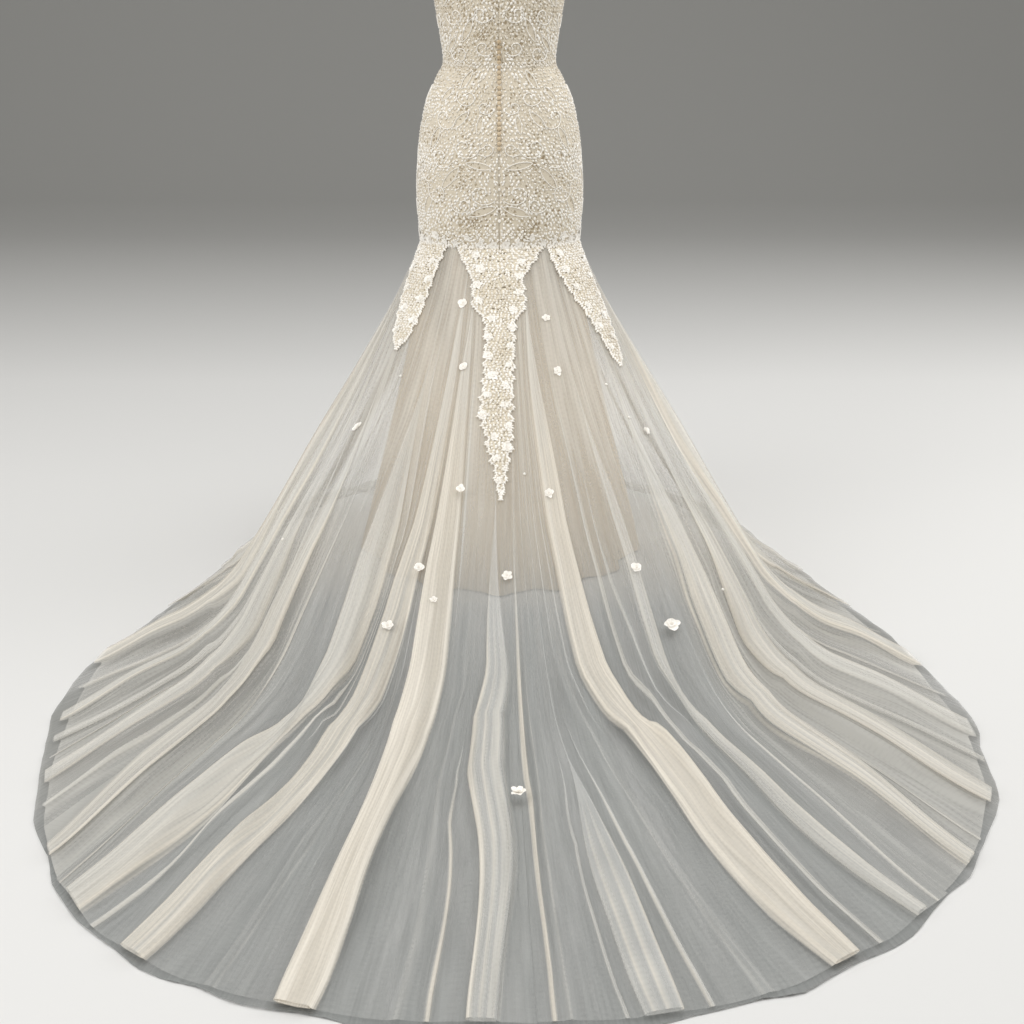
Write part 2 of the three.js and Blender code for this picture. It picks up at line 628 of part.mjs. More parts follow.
FLOWERS.forEach((flower, i) => {
  const seat = seatOn(flower.angle, flower.station);
  const radius = Math.min(flower.radius, seat.room * 0.94);
  const points = FLOWER.petals * FLOWER.facePoints;
  const outline = Array.from({ length: points }, (_, k) => {
    const turn = (2 * Math.PI * k) / points;
    const petal = Math.abs(Math.sin((FLOWER.petals * turn) / 2));
    const reach = radius * between(FLOWER.notch, 1, petal);
    return new THREE.Vector2(reach * Math.cos(turn), reach * Math.sin(turn));
  });
  const geometry = new THREE.ExtrudeGeometry(new THREE.Shape(outline), { depth: FLOWER.thick, bevelEnabled: false });
  const place = seat.centre.clone().addScaledVector(seat.outward, SEAM_GAP);
  add("flower_" + String(i + 1).padStart(2, "0"), setDown(geometry, place, seat.outward), APPLIQUE);
});

export default gown;
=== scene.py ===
import logging
import math
from dataclasses import dataclass, field
from enum import Enum
from typing import Callable, NamedTuple, Sequence

import bpy
import numpy as np
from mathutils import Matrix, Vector


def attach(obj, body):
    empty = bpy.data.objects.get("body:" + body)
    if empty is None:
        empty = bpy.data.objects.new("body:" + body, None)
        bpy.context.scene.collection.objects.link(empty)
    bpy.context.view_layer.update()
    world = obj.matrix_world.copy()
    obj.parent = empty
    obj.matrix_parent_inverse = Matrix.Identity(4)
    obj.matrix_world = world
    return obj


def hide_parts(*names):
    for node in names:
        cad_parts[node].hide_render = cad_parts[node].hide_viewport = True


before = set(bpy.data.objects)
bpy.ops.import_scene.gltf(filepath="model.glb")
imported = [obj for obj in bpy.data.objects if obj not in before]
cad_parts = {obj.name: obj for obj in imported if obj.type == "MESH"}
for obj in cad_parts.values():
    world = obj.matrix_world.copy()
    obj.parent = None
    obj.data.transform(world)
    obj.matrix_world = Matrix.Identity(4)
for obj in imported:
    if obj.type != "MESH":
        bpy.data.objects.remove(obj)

LOG = logging.getLogger("mermaid_gown")
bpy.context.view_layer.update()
MM = 0.001
BODY = "root"
Grid = np.ndarray

# Sizes in millimetres. The origin is the middle of the waist and the train lies towards -Y.
# Angles are in degrees round the waist: 0 is the centre back, 90 the right side, 180 the front.
WAIST_HEIGHT = 1090.0
FLOOR = -WAIST_HEIGHT
HIP_EDGE = -380.0
SEAM_GAP = 0.3
LACE_WALL = 2.0
TULLE_WALL = 1.8
UNDER_INSET = LACE_WALL + 0.4
LAYER_GAP = 4.0
OUTER_REST = 2 * TULLE_WALL + LAYER_GAP
TUCKED_UP = 8.0
FLOOR_BEND = 130.0
SAG = 34.0
HEM_REACH_SIDE = 40.0
HEM_REACH_TIP = 14.0


class Section(NamedTuple):
    """A level section of the fitted part."""

    height: float
    half: float
    back: float
    front: float


class Line(NamedTuple):
    """A line of the skirt seen from above: where it reaches the floor and where its hem lies."""

    angle: float
    contact_x: float
    contact_y: float
    hem_x: float
    hem_y: float


FITTED = [
    Section(-380, 176, 114, 107),
    Section(-340, 179, 117, 108),
    Section(-271, 182, 120, 110),
    Section(-185, 177, 118, 108),
    Section(-131, 170, 110, 104),
    Section(-79, 157, 99, 99),
    Section(-26, 133, 88, 94),
    Section(0, 120, 84, 90),
    Section(67, 127, 88, 96),
    Section(127, 137, 94, 106),
    Section(190, 146, 97, 116),
    Section(250, 148, 97, 118),
    Section(320, 146, 96, 112),
]
NECKLINE = [(0, 141), (35, 147), (70, 172), (95, 207), (122, 258), (146, 286), (165, 268), (180, 240)]
CUP_ANGLE, CUP_HEIGHT, CUP_DEPTH, CUP_SPREAD, CUP_RISE = 150.0, 205.0, 20.0, 17.0, 52.0
LINES = [
    Line(-160, -232, 370, -258, 408),
    Line(-140, -412, 225, -452, 248),
    Line(-120, -516, 5, -562, -25),
    Line(-105, -560, -215, -655, -335),
    Line(-90, -575, -455, -782, -712),
    Line(-75, -545, -675, -775, -1050),
    Line(-60, -475, -830, -705, -1352),
    Line(-45, -380, -915, -584, -1574),
    Line(-30, -260, -955, -415, -1708),
    Line(-15, -131, -965, -217, -1782),
    Line(0, 0, -965, 0, -1797),
    Line(15, 131, -965, 224, -1782),
    Line(30, 261, -955, 432, -1706),
    Line(45, 385, -918, 618, -1558),
    Line(60, 488, -838, 768, -1342),
    Line(75, 560, -680, 838, -1045),
    Line(90, 585, -460, 812, -700),
    Line(105, 568, -220, 702, -345),
    Line(120, 518, 5, 588, -35),
    Line(140, 412, 225, 458, 248),
    Line(160, 232, 370, 258, 408),
    Line(180, 0, 415, 0, 455),
]


class FoldKind(Enum):
    """How a fold of the outer tulle lies: pressed flat over itself, a thin tuck, or a soft round."""

    RIBBON = "ribbon"
    TUCK = "tuck"
    ROUND = "round"


class Fold(NamedTuple):
    """A fold of the outer tulle.

    Its broad ridge has an angle, a width in degrees, a height, a station where it starts and a level or
    round top. On the ridge lies the fold itself: its kind, half its width in millimetres, how milky it is,
    which way it turns, how far it strays aside, and the stations where it ends and where it opens.
    """

    angle: float
    wide: float
    high: float
    start: float
    level: bool
    kind: FoldKind
    half: float = 16.0
    weight: float = 0.2
    turn: int = 1
    stray: float = 6.0
    end: float = 2.5
    opens: float = 0.0


R, T, S = FoldKind.RIBBON, FoldKind.TUCK, FoldKind.ROUND
FOLDS = [
    Fold(-171, 6.0, 16, 0.1, False, S),
    Fold(-157, 6.0, 17, 0.08, False, R, 12, 0.4),
    Fold(-144, 5.5, 16, 0.1, False, S),
    Fold(-132, 5.0, 17, 0.06, False, R, 13, 0.5, -1),
    Fold(-121, 4.5, 18, 0.1, False, S),
    Fold(-111, 4.2, 20, 0.06, False, R, 12, 0.45),
    Fold(-101.5, 3.8, 20, 0.1, False, R, 16, 0.6, -1),
    Fold(-91, 5.2, 22, 0.12, True, R, 36, 0.75, 1, 9),
    Fold(-80, 3.8, 18, 0.2, False, R, 16, 0.5),
    Fold(-69.5, 4.6, 18, 0.36, True, R, 22, 0.4, 1, 8),
    Fold(-58.5, 4.4, 20, 0.38, True, R, 24, 0.6, -1, 8),
    Fold(-48.5, 5.0, 22, 0.38, True, R, 31, 0.66, 1, 7),
    Fold(-37.5, 4.6, 20, 0.16, True, R, 24, 0.8, 1, 9),
    Fold(-27.5, 3.0, 10, 0.55, False, S),
    Fold(-18.5, 5.0, 22, 0.2, True, R, 27, 1.2, 1, 3),
    Fold(-8.0, 2.6, 12, 0.66, False, S),
    Fold(-1.0, 4.6, 18, 0.66, True, R, 27, 0.62, 1, 11),
    Fold(7.0, 2.6, 10, 0.66, False, S),
    Fold(15.5, 4.4, 14, 0.5, False, R, 24, 0.42, -1, 5, 2.5, 1.25),
    Fold(25.5, 3.0, 10, 0.6, False, S),
    Fold(35.0, 5.2, 22, 0.16, True, R, 24, 1.0, -1, 10),
    Fold(45.5, 3.8, 16, 0.38, False, R, 13, 0.5, -1, 8),
    Fold(55.5, 4.6, 20, 0.38, True, R, 22, 0.62, -1, 9),
    Fold(66.5, 4.8, 20, 0.38, True, R, 27, 0.6, 1, 8),
    Fold(78, 4.8, 20, 0.38, True, R, 28, 0.42, -1, 8),
    Fold(90.5, 5.0, 22, 0.1, True, R, 34, 0.7, -1, 8),
    Fold(101.5, 3.8, 20, 0.08, False, R, 17, 0.55),
    Fold(111, 4.2, 20, 0.06, False, R, 13, 0.4, -1),
    Fold(121, 4.5, 18, 0.1, False, S),
    Fold(132, 5.0, 17, 0.06, False, R, 14, 0.4),
    Fold(144, 5.5, 16, 0.1, False, S),
    Fold(157, 6.0, 17, 0.08, False, R, 12, 0.4, -1),
    Fold(171, 6.0, 16, 0.1, False, S),
]


class Tuck(NamedTuple):
    """A thin fold between the large ones: its angle, first and last station, half width and milkiness."""

    angle: float
    start: float
    end: float = 2.5
    half: float = 4.0
    weight: float = 0.55


TUCKS = [Tuck(side * angle, 0.1) for side in (-1, 1) for angle in (126.5, 138.0, 150.0, 164.0, 176.0)] + [
    Tuck(-106, 0.1), Tuck(-96.6, 0.1), Tuck(-85.6, 0.3, 2.5, 6), Tuck(-75, 0.4, 2.5, 9, 0.2),
    Tuck(-73.0, 0.9, 2.5, 3, 0.5), Tuck(-64.2, 0.42, 2.5, 6), Tuck(-62.4, 0.6, 1.4, 3),
    Tuck(-53.0, 0.42, 2.5, 3, 0.6), Tuck(-43.4, 0.2, 2.5, 5, 0.5), Tuck(-41.8, 0.5, 1.3, 3),
    Tuck(-32.6, 0.3, 1.15), Tuck(-31.0, 0.45, 0.95, 3, 0.6), Tuck(-24.0, 0.22, 1.0, 6),
    Tuck(-22.6, 0.5, 0.9, 3), Tuck(-13.0, 0.25, 0.9, 5), Tuck(-6.4, 1.1, 2.5, 3, 0.8),
    Tuck(5.6, 0.62, 2.5, 3, 0.95), Tuck(9.6, 0.3, 0.85, 5), Tuck(12.0, 1.15, 2.5, 3, 0.5),
    Tuck(20.0, 1.1, 2.5, 3, 0.5), Tuck(21.6, 0.24, 0.95, 5), Tuck(29.2, 0.2, 1.1, 6),
    Tuck(30.8, 0.4, 0.9, 3, 0.6), Tuck(40.2, 0.3, 2.5, 4, 0.4), Tuck(42.0, 0.5, 1.2, 3),
    Tuck(48.6, 0.9, 2.5, 3, 0.5), Tuck(51.3, 0.42, 1.2), Tuck(60.8, 0.42, 2.5, 6),
    Tuck(62.4, 0.6, 1.2, 3, 0.6), Tuck(72.6, 0.42, 2.5, 8, 0.25), Tuck(84.2, 0.3, 2.5, 6),
    Tuck(96, 0.1), Tuck(106.4, 0.1),
]
# Near the hip the back folds are drawn towards the middle, and from there they fan out: a fold that reaches
# the hem at one angle leaves the hip at another, and takes these shares of the way at these stations.
LEAN_HEM = [-180, -53.8, -48.5, -37.5, -27.5, -18.5, -8.0, 0.0, 4.0, 15.5, 25.5, 35.0, 45.5, 50.0, 360]
LEAN_HIP = [-180, -53.8, -29.0, -20.5, -18.0, -15.0, -6.5, 0.0, 4.0, 8.0, 11.0, 14.0, 33.0, 50.0, 360]
LEAN_STATIONS = [0.2, 0.4, 0.6, 0.75, 0.92, 1.11, 1.36, 1.58, 1.83, 2.0]
LEAN_SHARES = [1.0, 0.92, 0.84, 0.7, 0.55, 0.4, 0.27, 0.18, 0.09, 0.0]
GROWTH = 0.5
GORES = {
    "back_left": (-53.8, 4.0),
    "back_right": (4.0, 50.0),
    "side_left": (-116.0, -53.8),
    "side_right": (50.0, 116.0),
    "front": (116.0, 244.0),
}
PANELS = {"back_left": (-90.0, 0.0), "back_right": (0.0, 90.0), "front": (90.0, 270.0)}


def smooth(x: Grid) -> Grid:
    """A share from 0 to 1 with soft ends."""
    t = np.clip(x, 0.0, 1.0)
    return t * t * (3 - 2 * t)


def turned(angle: Grid) -> Grid:
    """An angle brought into the range from -180 to 180."""
    return angle - 360.0 * np.round(np.asarray(angle) / 360.0)


def unit(v: Grid) -> Grid:
    """Vectors along the last axis, brought to length one."""
    return v / np.maximum(np.linalg.norm(v, axis=-1, keepdims=True), 1e-9)


def curve(keys: Sequence[float], values: Sequence[float], at: Grid) -> Grid:
    """Reads a table on a smooth curve through its rows.

    Args:
        keys: the rows' keys, rising.
        values: the column that is read.
        at: where it is read.

    Returns:
        The values there, with the shape of at.
    """
    k, v = np.asarray(keys, float), np.asarray(values, float)
    slope = np.gradient(v)
    slope[1:-1] = (v[2:] - v[:-2]) / (k[2:] - k[:-2])
    slope[0] = (v[1] - v[0]) / (k[1] - k[0])
    slope[-1] = (v[-1] - v[-2]) / (k[-1] - k[-2])
    at = np.asarray(at, float)
    i = np.clip(np.searchsorted(k, at) - 1, 0, len(k) - 2)
    span = k[i + 1] - k[i]
    t = np.clip((at - k[i]) / span, 0, 1)
    low = (2 * t**3 - 3 * t**2 + 1) * v[i] + (t**3 - 2 * t**2 + t) * slope[i] * span
    return low + (3 * t**2 - 2 * t**3) * v[i + 1] + (t**3 - t**2) * slope[i + 1] * span


def linear(code: str, alpha: float = 1.0) -> tuple[float, float, float, float]:
    """An sRGB hex colour as the linear values that a shader takes.

    Args:
        code: six hex digits after a hash sign.
        alpha: the fourth value.

    Returns:
        Linear red, green, blue and alpha.
    """
    parts = [int(code[i : i + 2], 16) / 255 for i in (1, 3, 5)]
    red, green, blue = (c / 12.92 if c <= 0.04045 else ((c + 0.055) / 1.055) ** 2.4 for c in parts)
    return red, green, blue, alpha


class Surface:
    """A face of the gown that lace and flowers can be laid on, by an angle and a second measure."""

    def point(self, angle: Grid, along: Grid, lift: Grid) -> Grid:
        """Points at an angle and a second measure, lifted out of the face."""
        raise NotImplementedError

    def normal(self, angle: Grid, along: Grid) -> Grid:
        """Directions out of the face."""
        raise NotImplementedError

    def frame(self, angle: Grid, along: Grid, lift: Grid) -> tuple[Grid, Grid, Grid, Grid]:
        """Points of the face, and there the directions across, up and out."""
        point = self.point(angle, along, lift)
        across = self.point(angle + 0.05, along, lift) - self.point(angle - 0.05, along, lift)
        out = self.normal(angle, along)
        across = unit(across - out * (across * out).sum(-1, keepdims=True))
        return point, across, np.cross(out, across), out


class FittedForm(Surface):
    """The bodice and hip: level ovals that change with height, with a soft cup on each side of the front."""

    rows = list(zip(*FITTED))

    def plain(self, angle: Grid, height: Grid, inset: Grid = 0.0) -> Grid:
        """Points of the fitted part's outer face, or of a face inset within it."""
        a = np.radians(angle)
        heights, half, back, front = self.rows
        depth = np.where(np.cos(a) >= 0, curve(heights, back, height), curve(heights, front, height)) - inset
        x = (curve(heights, half, height) - inset) * np.sin(a)
        y = -depth * np.cos(a)
        off_angle = (np.abs(turned(angle)) - CUP_ANGLE) / CUP_SPREAD
        off_height = (height - CUP_HEIGHT) / CUP_RISE
        cup = CUP_DEPTH * np.exp(-(off_angle**2) - off_height**2) / np.maximum(np.hypot(x, y), 1e-6)
        return np.stack([x * (1 + cup), y * (1 + cup), np.broadcast_to(height, x.shape)], -1)

    def normal(self, angle: Grid, height: Grid) -> Grid:
        """Directions out of the cloth."""
        across = self.plain(angle + 0.02, height) - self.plain(angle - 0.02, height)
        up = self.plain(angle, height + 0.2) - self.plain(angle, height - 0.2)
        return unit(np.cross(across, up))

    def point(self, angle: Grid, along: Grid, lift: Grid) -> Grid:
        """Points at an angle and a height, lifted out of the cloth."""
        angle, along = np.asarray(angle, float), np.asarray(along, float)
        return self.plain(angle, along) + self.normal(angle, along) * np.asarray(lift)[..., None]


class SkirtForm(Surface):
    """The skirt's bare form: station 0 is the hip edge, 1 the floor and 2 the hem."""

    def __init__(self, fitted: FittedForm) -> None:
        """Takes the fitted form, whose lower edge the skirt hangs from."""
        self.fitted = fitted
        rows = [line._replace(angle=line.angle + shift) for shift in (-360, 0, 360) for line in LINES]
        self.rows = list(zip(*rows))

    def lengths(self, angle: Grid) -> tuple[Grid, Grid, Grid, Grid, Grid, Grid]:
        """The top, floor and hem points of lines, the way they bow, and how long they hang and lie."""
        keys, contact_x, contact_y, hem_x, hem_y = self.rows
        angle = np.asarray(angle, float)
        top = self.fitted.plain(angle, np.full(angle.shape, HIP_EDGE))
        ground = np.full(angle.shape, FLOOR)
        floor = np.stack([curve(keys, contact_x, angle), curve(keys, contact_y, angle), ground], -1)
        hem = np.stack([curve(keys, hem_x, angle), curve(keys, hem_y, angle), ground], -1)
        level = (floor - top) * [1, 1, 0]
        run = np.linalg.norm(level, axis=-1, keepdims=True)
        inward = level * (floor - top)[..., 2:] / run
        inward[..., 2:] = -run
        hanging = np.linalg.norm(floor - top, axis=-1, keepdims=True)
        lying = np.linalg.norm(hem - floor, axis=-1, keepdims=True)
        return top, floor, hem, unit(inward), hanging, lying

    def plain(self, angle: Grid, station: Grid) -> Grid:
        """Points of the form, which turns softly from hanging to lying near the floor."""
        angle, station = np.broadcast_arrays(np.asarray(angle, float), np.asarray(station, float))
        top, floor, hem, inward, hanging, lying = self.lengths(angle)
        s = station[..., None]
        distance = np.where(s <= 1, (s - 1) * hanging, (s - 1) * lying)

        def hang(d: Grid) -> Grid:
            """The hanging part, bowed inward, at a distance past the floor."""
            share = 1 + d / hanging
            return top + (floor - top) * share + inward * SAG * 4 * share * (1 - share)

        def lie(d: Grid) -> Grid:
            """The lying part at a distance past the floor."""
            return floor + (hem - floor) * d / lying

        bend = np.minimum(FLOOR_BEND, 0.9 * lying)
        u = np.clip((distance + bend) / (2 * bend), 0, 1)
        turn = hang(-bend) * (1 - u) ** 2 + floor * 2 * u * (1 - u) + lie(bend) * u**2
        return np.where(np.abs(distance) < bend, turn, np.where(distance > 0, lie(distance), hang(distance)))

    def normal(self, angle: Grid, station: Grid) -> Grid:
        """Directions up out of the cloth."""
        across = self.plain(angle + 0.01, station) - self.plain(angle - 0.01, station)
        down = self.plain(angle, station + 0.01) - self.plain(angle, station - 0.01)
        return unit(np.cross(down, across))

    def swell(self, angle: Grid, station: Grid) -> Grid:
        """Height of the broad folds over the plain lie of the outer tulle, softly rounded."""
        height = np.zeros(np.broadcast(angle, station).shape)
        for fold in FOLDS:
            off = np.abs(turned(angle - fold.angle)) / fold.wide
            level = 0.5 if fold.level else 0.1
            shape = smooth((1 - off) / (1 - level) * 0.94)
            height = np.maximum(height, fold.high * shape * smooth((station - fold.start) / GROWTH))
        return height

    def point(self, angle: Grid, along: Grid, lift: Grid) -> Grid:
        """Points of the outer tulle at an angle and a station, lifted out of the cloth."""
        rest = OUTER_REST * smooth(np.asarray(along) / 0.3) + self.swell(angle, along)
        return self.plain(angle, along) + self.normal(angle, along) * (rest + lift)[..., None]


FITTED_FORM = FittedForm()
SKIRT_FORM = SkirtForm(FITTED_FORM)


class Shader:
    """A node material under construction, with its Principled shader."""

    def __init__(self, name: str) -> None:
        """Makes an empty material of that name."""
        self.material = bpy.data.materials.new(name)
        self.material.use_nodes = True
        self.tree = self.material.node_tree
        self.tree.nodes.clear()
        self.surface = self.node("ShaderNodeBsdfPrincipled")
        output = self.node("ShaderNodeOutputMaterial")
        self.tree.links.new(self.surface.outputs["BSDF"], output.inputs["Surface"])

    def node(self, kind: str, settings: dict | None = None, **sockets: object) -> bpy.types.Node:
        """Adds a node with its settings and links.

        Args:
            kind: Blender's name for the node.
            settings: attributes set on the node itself.
            sockets: values or output sockets for its inputs; an underscore stands for a space, and a
                name such as i0 counts the inputs.

        Returns:
            The new node.
        """
        made = self.tree.nodes.new(kind)
        for key, value in (settings or {}).items():
            setattr(made, key, value)
        for key, value in sockets.items():
            counted = key[1:].isdigit() and key[0] == "i"
            self.feed(made.inputs[int(key[1:]) if counted else key.replace("_", " ")], value)
        return made

    def feed(self, socket: bpy.types.NodeSocket, value: object) -> None:
        """Links an output socket to an input, or sets the input's own value."""
        if isinstance(value, bpy.types.NodeSocket):
            self.tree.links.new(value, socket)
        else:
            socket.default_value = value

    def set(self, **sockets: object) -> None:
        """Sets or links the Principled shader's own sockets."""
        for key, value in sockets.items():
            self.feed(self.surface.inputs[key.replace("_", " ")], value)

    def cloth_place(self, across: float, down: float) -> bpy.types.NodeSocket:
        """The place on the cloth in pattern units, each so many millimetres across and down the grain."""
        uv = self.node("ShaderNodeUVMap", {"uv_map": "cloth"})
        scale = (1000 / across, 1000 / down, 1)
        return self.node("ShaderNodeMapping", Vector=uv.outputs["UV"], Scale=scale).outputs["Vector"]

    def noise(self, across: float, down: float, detail: float, output: int = 0) -> bpy.types.NodeSocket:
        """Soft patches so many millimetres across and down the grain: output 0 is a number, 1 a colour."""
        place = self.cloth_place(across, down)
        return self.node("ShaderNodeTexNoise", Vector=place, Scale=1.0, Detail=detail).outputs[output]

    def sum(self, operation: str, *values: object) -> bpy.types.NodeSocket:
        """One step of arithmetic on numbers or output sockets."""
        inputs = {f"i{k}": value for k, value in enumerate(values)}
        return self.node("ShaderNodeMath", {"operation": operation}, **inputs).outputs[0]

    def attribute(self, name: str) -> bpy.types.NodeSocket:
        """The number of that name that each point of a piece carries."""
        return self.node("ShaderNodeAttribute", {"attribute_name": name}).outputs["Fac"]

    def ramp(self, factor: bpy.types.NodeSocket, stops: Sequence[tuple[float, str]]) -> bpy.types.NodeSocket:
        """Colours by a factor, from stops of a place and a hex colour."""
        made = self.node("ShaderNodeValToRGB", Fac=factor)
        band = made.color_ramp
        while len(band.elements) < len(stops):
            band.elements.new(1.0)
        for element, (place, code) in zip(band.elements, stops):
            element.position = place
            element.color = linear(code)
        return made.outputs["Color"]

    def span(self, value: bpy.types.NodeSocket, *ends: float) -> bpy.types.NodeSocket:
        """A value brought from between the first two ends to between the last two, and held there."""
        inputs = {f"i{k}": end for k, end in enumerate(ends, 1)}
        return self.node("ShaderNodeMapRange", i0=value, **inputs).outputs[0]

    def raised(self, height: bpy.types.NodeSocket, depth_mm: float, strength: float = 1.0) -> None:
        """Gives the shader relief from a height, so many millimetres deep."""
        made = self.node("ShaderNodeBump", Height=height, Distance=depth_mm * MM, Strength=strength)
        self.set(Normal=made.outputs["Normal"])


@dataclass(frozen=True)
class SilkTulle:
    """Fine silk tulle: a soft diamond net that veils what lies under it, milky where it is pressed together.

    Its threads have a colour where it is folded and a shade where it is single. One layer covers a share
    between cover_low and cover_high, and pressed is what full pressing adds. Streaks run down it, and both
    they and the net have a width in millimetres. The pressed attribute also carries painted light: whiter
    lines along the outer layer's fold edges as painted highlight, and the under layer's dark grey where it
    lies on the floor, partly painted shade.
    """

    name: str
    thread: str
    shade: str
    cover_low: float
    cover_high: float
    pressed: float
    streak_mm: float = 26.0
    net_mm: float = 5.0

    def material(self) -> bpy.types.Material:
        """Builds the net: its holes are under 1 mm, so they are drawn at net_mm to show at all."""
        made = Shader(self.name)
        broad = made.noise(self.streak_mm, 900, 1.0)
        fine = made.noise(3.6, 140, 1.0)
        streaks = made.node("ShaderNodeMix", i0=0.38, i2=broad, i3=fine).outputs[0]
        threads = []
        scale = 1000 / self.net_mm / 6.4
        for turn in (0.9, -0.9):
            uv = made.node("ShaderNodeUVMap", {"uv_map": "cloth"}).outputs["UV"]
            place = made.node("ShaderNodeMapping", Vector=uv, Rotation=(0, 0, turn)).outputs["Vector"]
            wave = made.node("ShaderNodeTexWave", Vector=place, Scale=scale, Detail=0.0)
            threads.append(wave.outputs["Fac"])
        net = made.sum("MAXIMUM", *threads)
        pressed = made.attribute("pressed")
        veil = made.sum("MULTIPLY_ADD", net, 0.08, streaks)
        plain = made.span(veil, 0.4, 0.7, self.cover_low, self.cover_high)
        patchy = made.span(streaks, 0.38, 0.62, 0.66 * self.pressed, 1.22 * self.pressed)
        cover = made.sum("MULTIPLY_ADD", pressed, patchy, plain)
        # The ramp by pressed carries painted light too: highlight lines at the outer layer's fold edges, and
        # the under layer's dark grey where it lies, partly shade of the floor below.
        colour = made.ramp(pressed, [(0.1, self.shade), (0.8, self.thread)])
        made.set(Base_Color=colour, Alpha=cover, Roughness=0.7, IOR=1.54, Sheen_Weight=0.2)
        made.raised(net, 0.4, 0.4)
        return made.material


@dataclass(frozen=True)
class DuchesseSatin:
    """Matt champagne satin: a close weave with a low, wide sheen along its folds."""

    name: str
    light: str
    shade: str

    def material(self) -> bpy.types.Material:
        """Builds the weave, whose 0.4 mm threads are drawn 2 mm wide to show."""
        made = Shader(self.name)
        tone = made.noise(60, 260, 3.0)
        threads = made.cloth_place(2, 2)
        diagonal = {"bands_direction": "DIAGONAL"}
        weave = made.node("ShaderNodeTexWave", diagonal, Vector=threads, Scale=1.0, Distortion=0.6)
        made.set(
            Base_Color=made.ramp(tone, [(0.3, self.shade), (0.7, self.light)]),
            Roughness=made.span(tone, 0.3, 0.7, 0.5, 0.42),
            IOR=1.5,
            Sheen_Weight=0.2,
            Anisotropic=0.3,
        )
        made.raised(weave.outputs["Fac"], 0.15, 0.4)
        return made.material


@dataclass(frozen=True)
class CordedLace:
    """Corded lace on a nude net: close ivory cording with small beige holes.

    The cording is fuller where the attribute says. A cover under 1 lets the cloth below show through.
    Between the cords, the ground and hole colours are darker than the nude satin: partly the net's own beige,
    partly painted shade in the holes.
    """

    name: str
    cord: str
    ground: str
    hole: str
    opening_mm: float = 6.5
    cover: float = 1.0

    def material(self) -> bpy.types.Material:
        """Builds the cording from cells of the holes' real pitch, bent a little so that no two are alike."""
        made = Shader(self.name)
        drift = made.noise(24, 24, 2.0, 1)
        cell = made.cloth_place(self.opening_mm, self.opening_mm)
        bend = {"operation": "MULTIPLY_ADD"}
        bent = made.node("ShaderNodeVectorMath", bend, i0=drift, i1=(1.5, 1.5, 0.0), i2=cell).outputs[0]
        edges = {"feature": "DISTANCE_TO_EDGE"}
        cells = made.node("ShaderNodeTexVoronoi", edges, Vector=bent, Scale=1.0, Randomness=0.85).outputs[0]
        patches = made.noise(42, 42, 2.0)
        amount = made.sum("MULTIPLY_ADD", made.attribute("fullness"), 0.55, patches)
        reach = made.span(amount, 0.3, 1.1, 0.05, 0.34)
        corded = made.span(made.sum("SUBTRACT", reach, cells), -0.05, 0.05, 0.0, 1.0)
        # Ground and hole colours between the cords, in patches: partly the nude net, partly painted shade in
        # the holes.
        tone = made.ramp(patches, [(0.35, self.hole), (0.65, self.ground)])
        colours = {"data_type": "RGBA"}
        mixed = made.node("ShaderNodeMix", colours, i0=corded, i6=tone, i7=linear(self.cord)).outputs[2]
        made.set(Base_Color=mixed, Roughness=0.72, IOR=1.53, Sheen_Weight=0.25)
        if self.cover < 1:
            made.set(Alpha=made.span(corded, 0.0, 1.0, self.cover, 1.0))
        made.raised(corded, 0.8, 0.8)
        return made.material


@dataclass(frozen=True)
class SatinStitch:
    """Raised satin-stitch embroidery in rayon: each petal its own tone, painted darker towards its foot as
    shade, with a faint shine on the thread.
    """

    name: str
    thread: str
    shade: str

    def material(self) -> bpy.types.Material:
        """Builds the thread lines, 0.4 mm threads drawn as bundles 1.6 mm wide."""
        made = Shader(self.name)
        place = made.node("ShaderNodeTexCoord").outputs["Object"]
        grain = made.node("ShaderNodeTexNoise", Vector=place, Scale=620.0, Detail=1.0).outputs[0]
        # The tone attribute holds each petal's own tone and a painted shade that darkens it towards its foot.
        both = made.sum("MULTIPLY_ADD", grain, 0.3, made.attribute("tone"))
        colour = made.ramp(both, [(0.2, self.shade), (1.05, self.thread)])
        made.set(Base_Color=colour, Roughness=0.5, IOR=1.53, Sheen_Weight=0.25)
        made.raised(grain, 0.3, 0.5)
        return made.material


def face_grid(columns: int, rows: int) -> Grid:
    """Corner numbers of a grid's quads, for points stored column by column, seen from outside."""
    c, r = np.meshgrid(np.arange(columns - 1), np.arange(rows - 1), indexing="ij")
    first = c * rows + r
    return np.stack([first, first + 1, first + rows + 1, first + rows], -1).reshape(-1, 4)


def cloth_mesh(name: str, points: Grid, faces: Grid, uv: Grid | None = None) -> bpy.types.Object:
    """Makes a mesh piece from points in millimetres, at the origin and riding on the gown's body.

    Args:
        name: the piece's name.
        points: its points, one row each.
        faces: the corner numbers of its faces, one row each.
        uv: a place on the flat cloth for each point, in metres, or None.

    Returns:
        The new object.
    """
    mesh = bpy.data.meshes.new(name)
    points = np.asarray(points, float).reshape(-1, 3) * MM
    faces = np.asarray(faces, int)
    mesh.vertices.add(len(points))
    mesh.vertices.foreach_set("co", points.ravel())
    sides = faces.shape[1]
    mesh.loops.add(faces.size)
    mesh.loops.foreach_set("vertex_index", faces.ravel())
    mesh.polygons.add(len(faces))
    mesh.polygons.foreach_set("loop_start", np.arange(0, faces.size, sides))
    mesh.polygons.foreach_set("loop_total", np.full(len(faces), sides))
    mesh.polygons.foreach_set("use_smooth", np.ones(len(faces), bool))
    mesh.update(calc_edges=True)
    if uv is not None:
        layer = mesh.uv_layers.new(name="cloth")
        layer.data.foreach_set("uv", np.asarray(uv, float).reshape(-1, 2)[faces.ravel()].ravel())
    mesh.validate()
    piece = bpy.data.objects.new(name, mesh)
    bpy.context.scene.collection.objects.link(piece)
    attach(piece, BODY)
    return piece


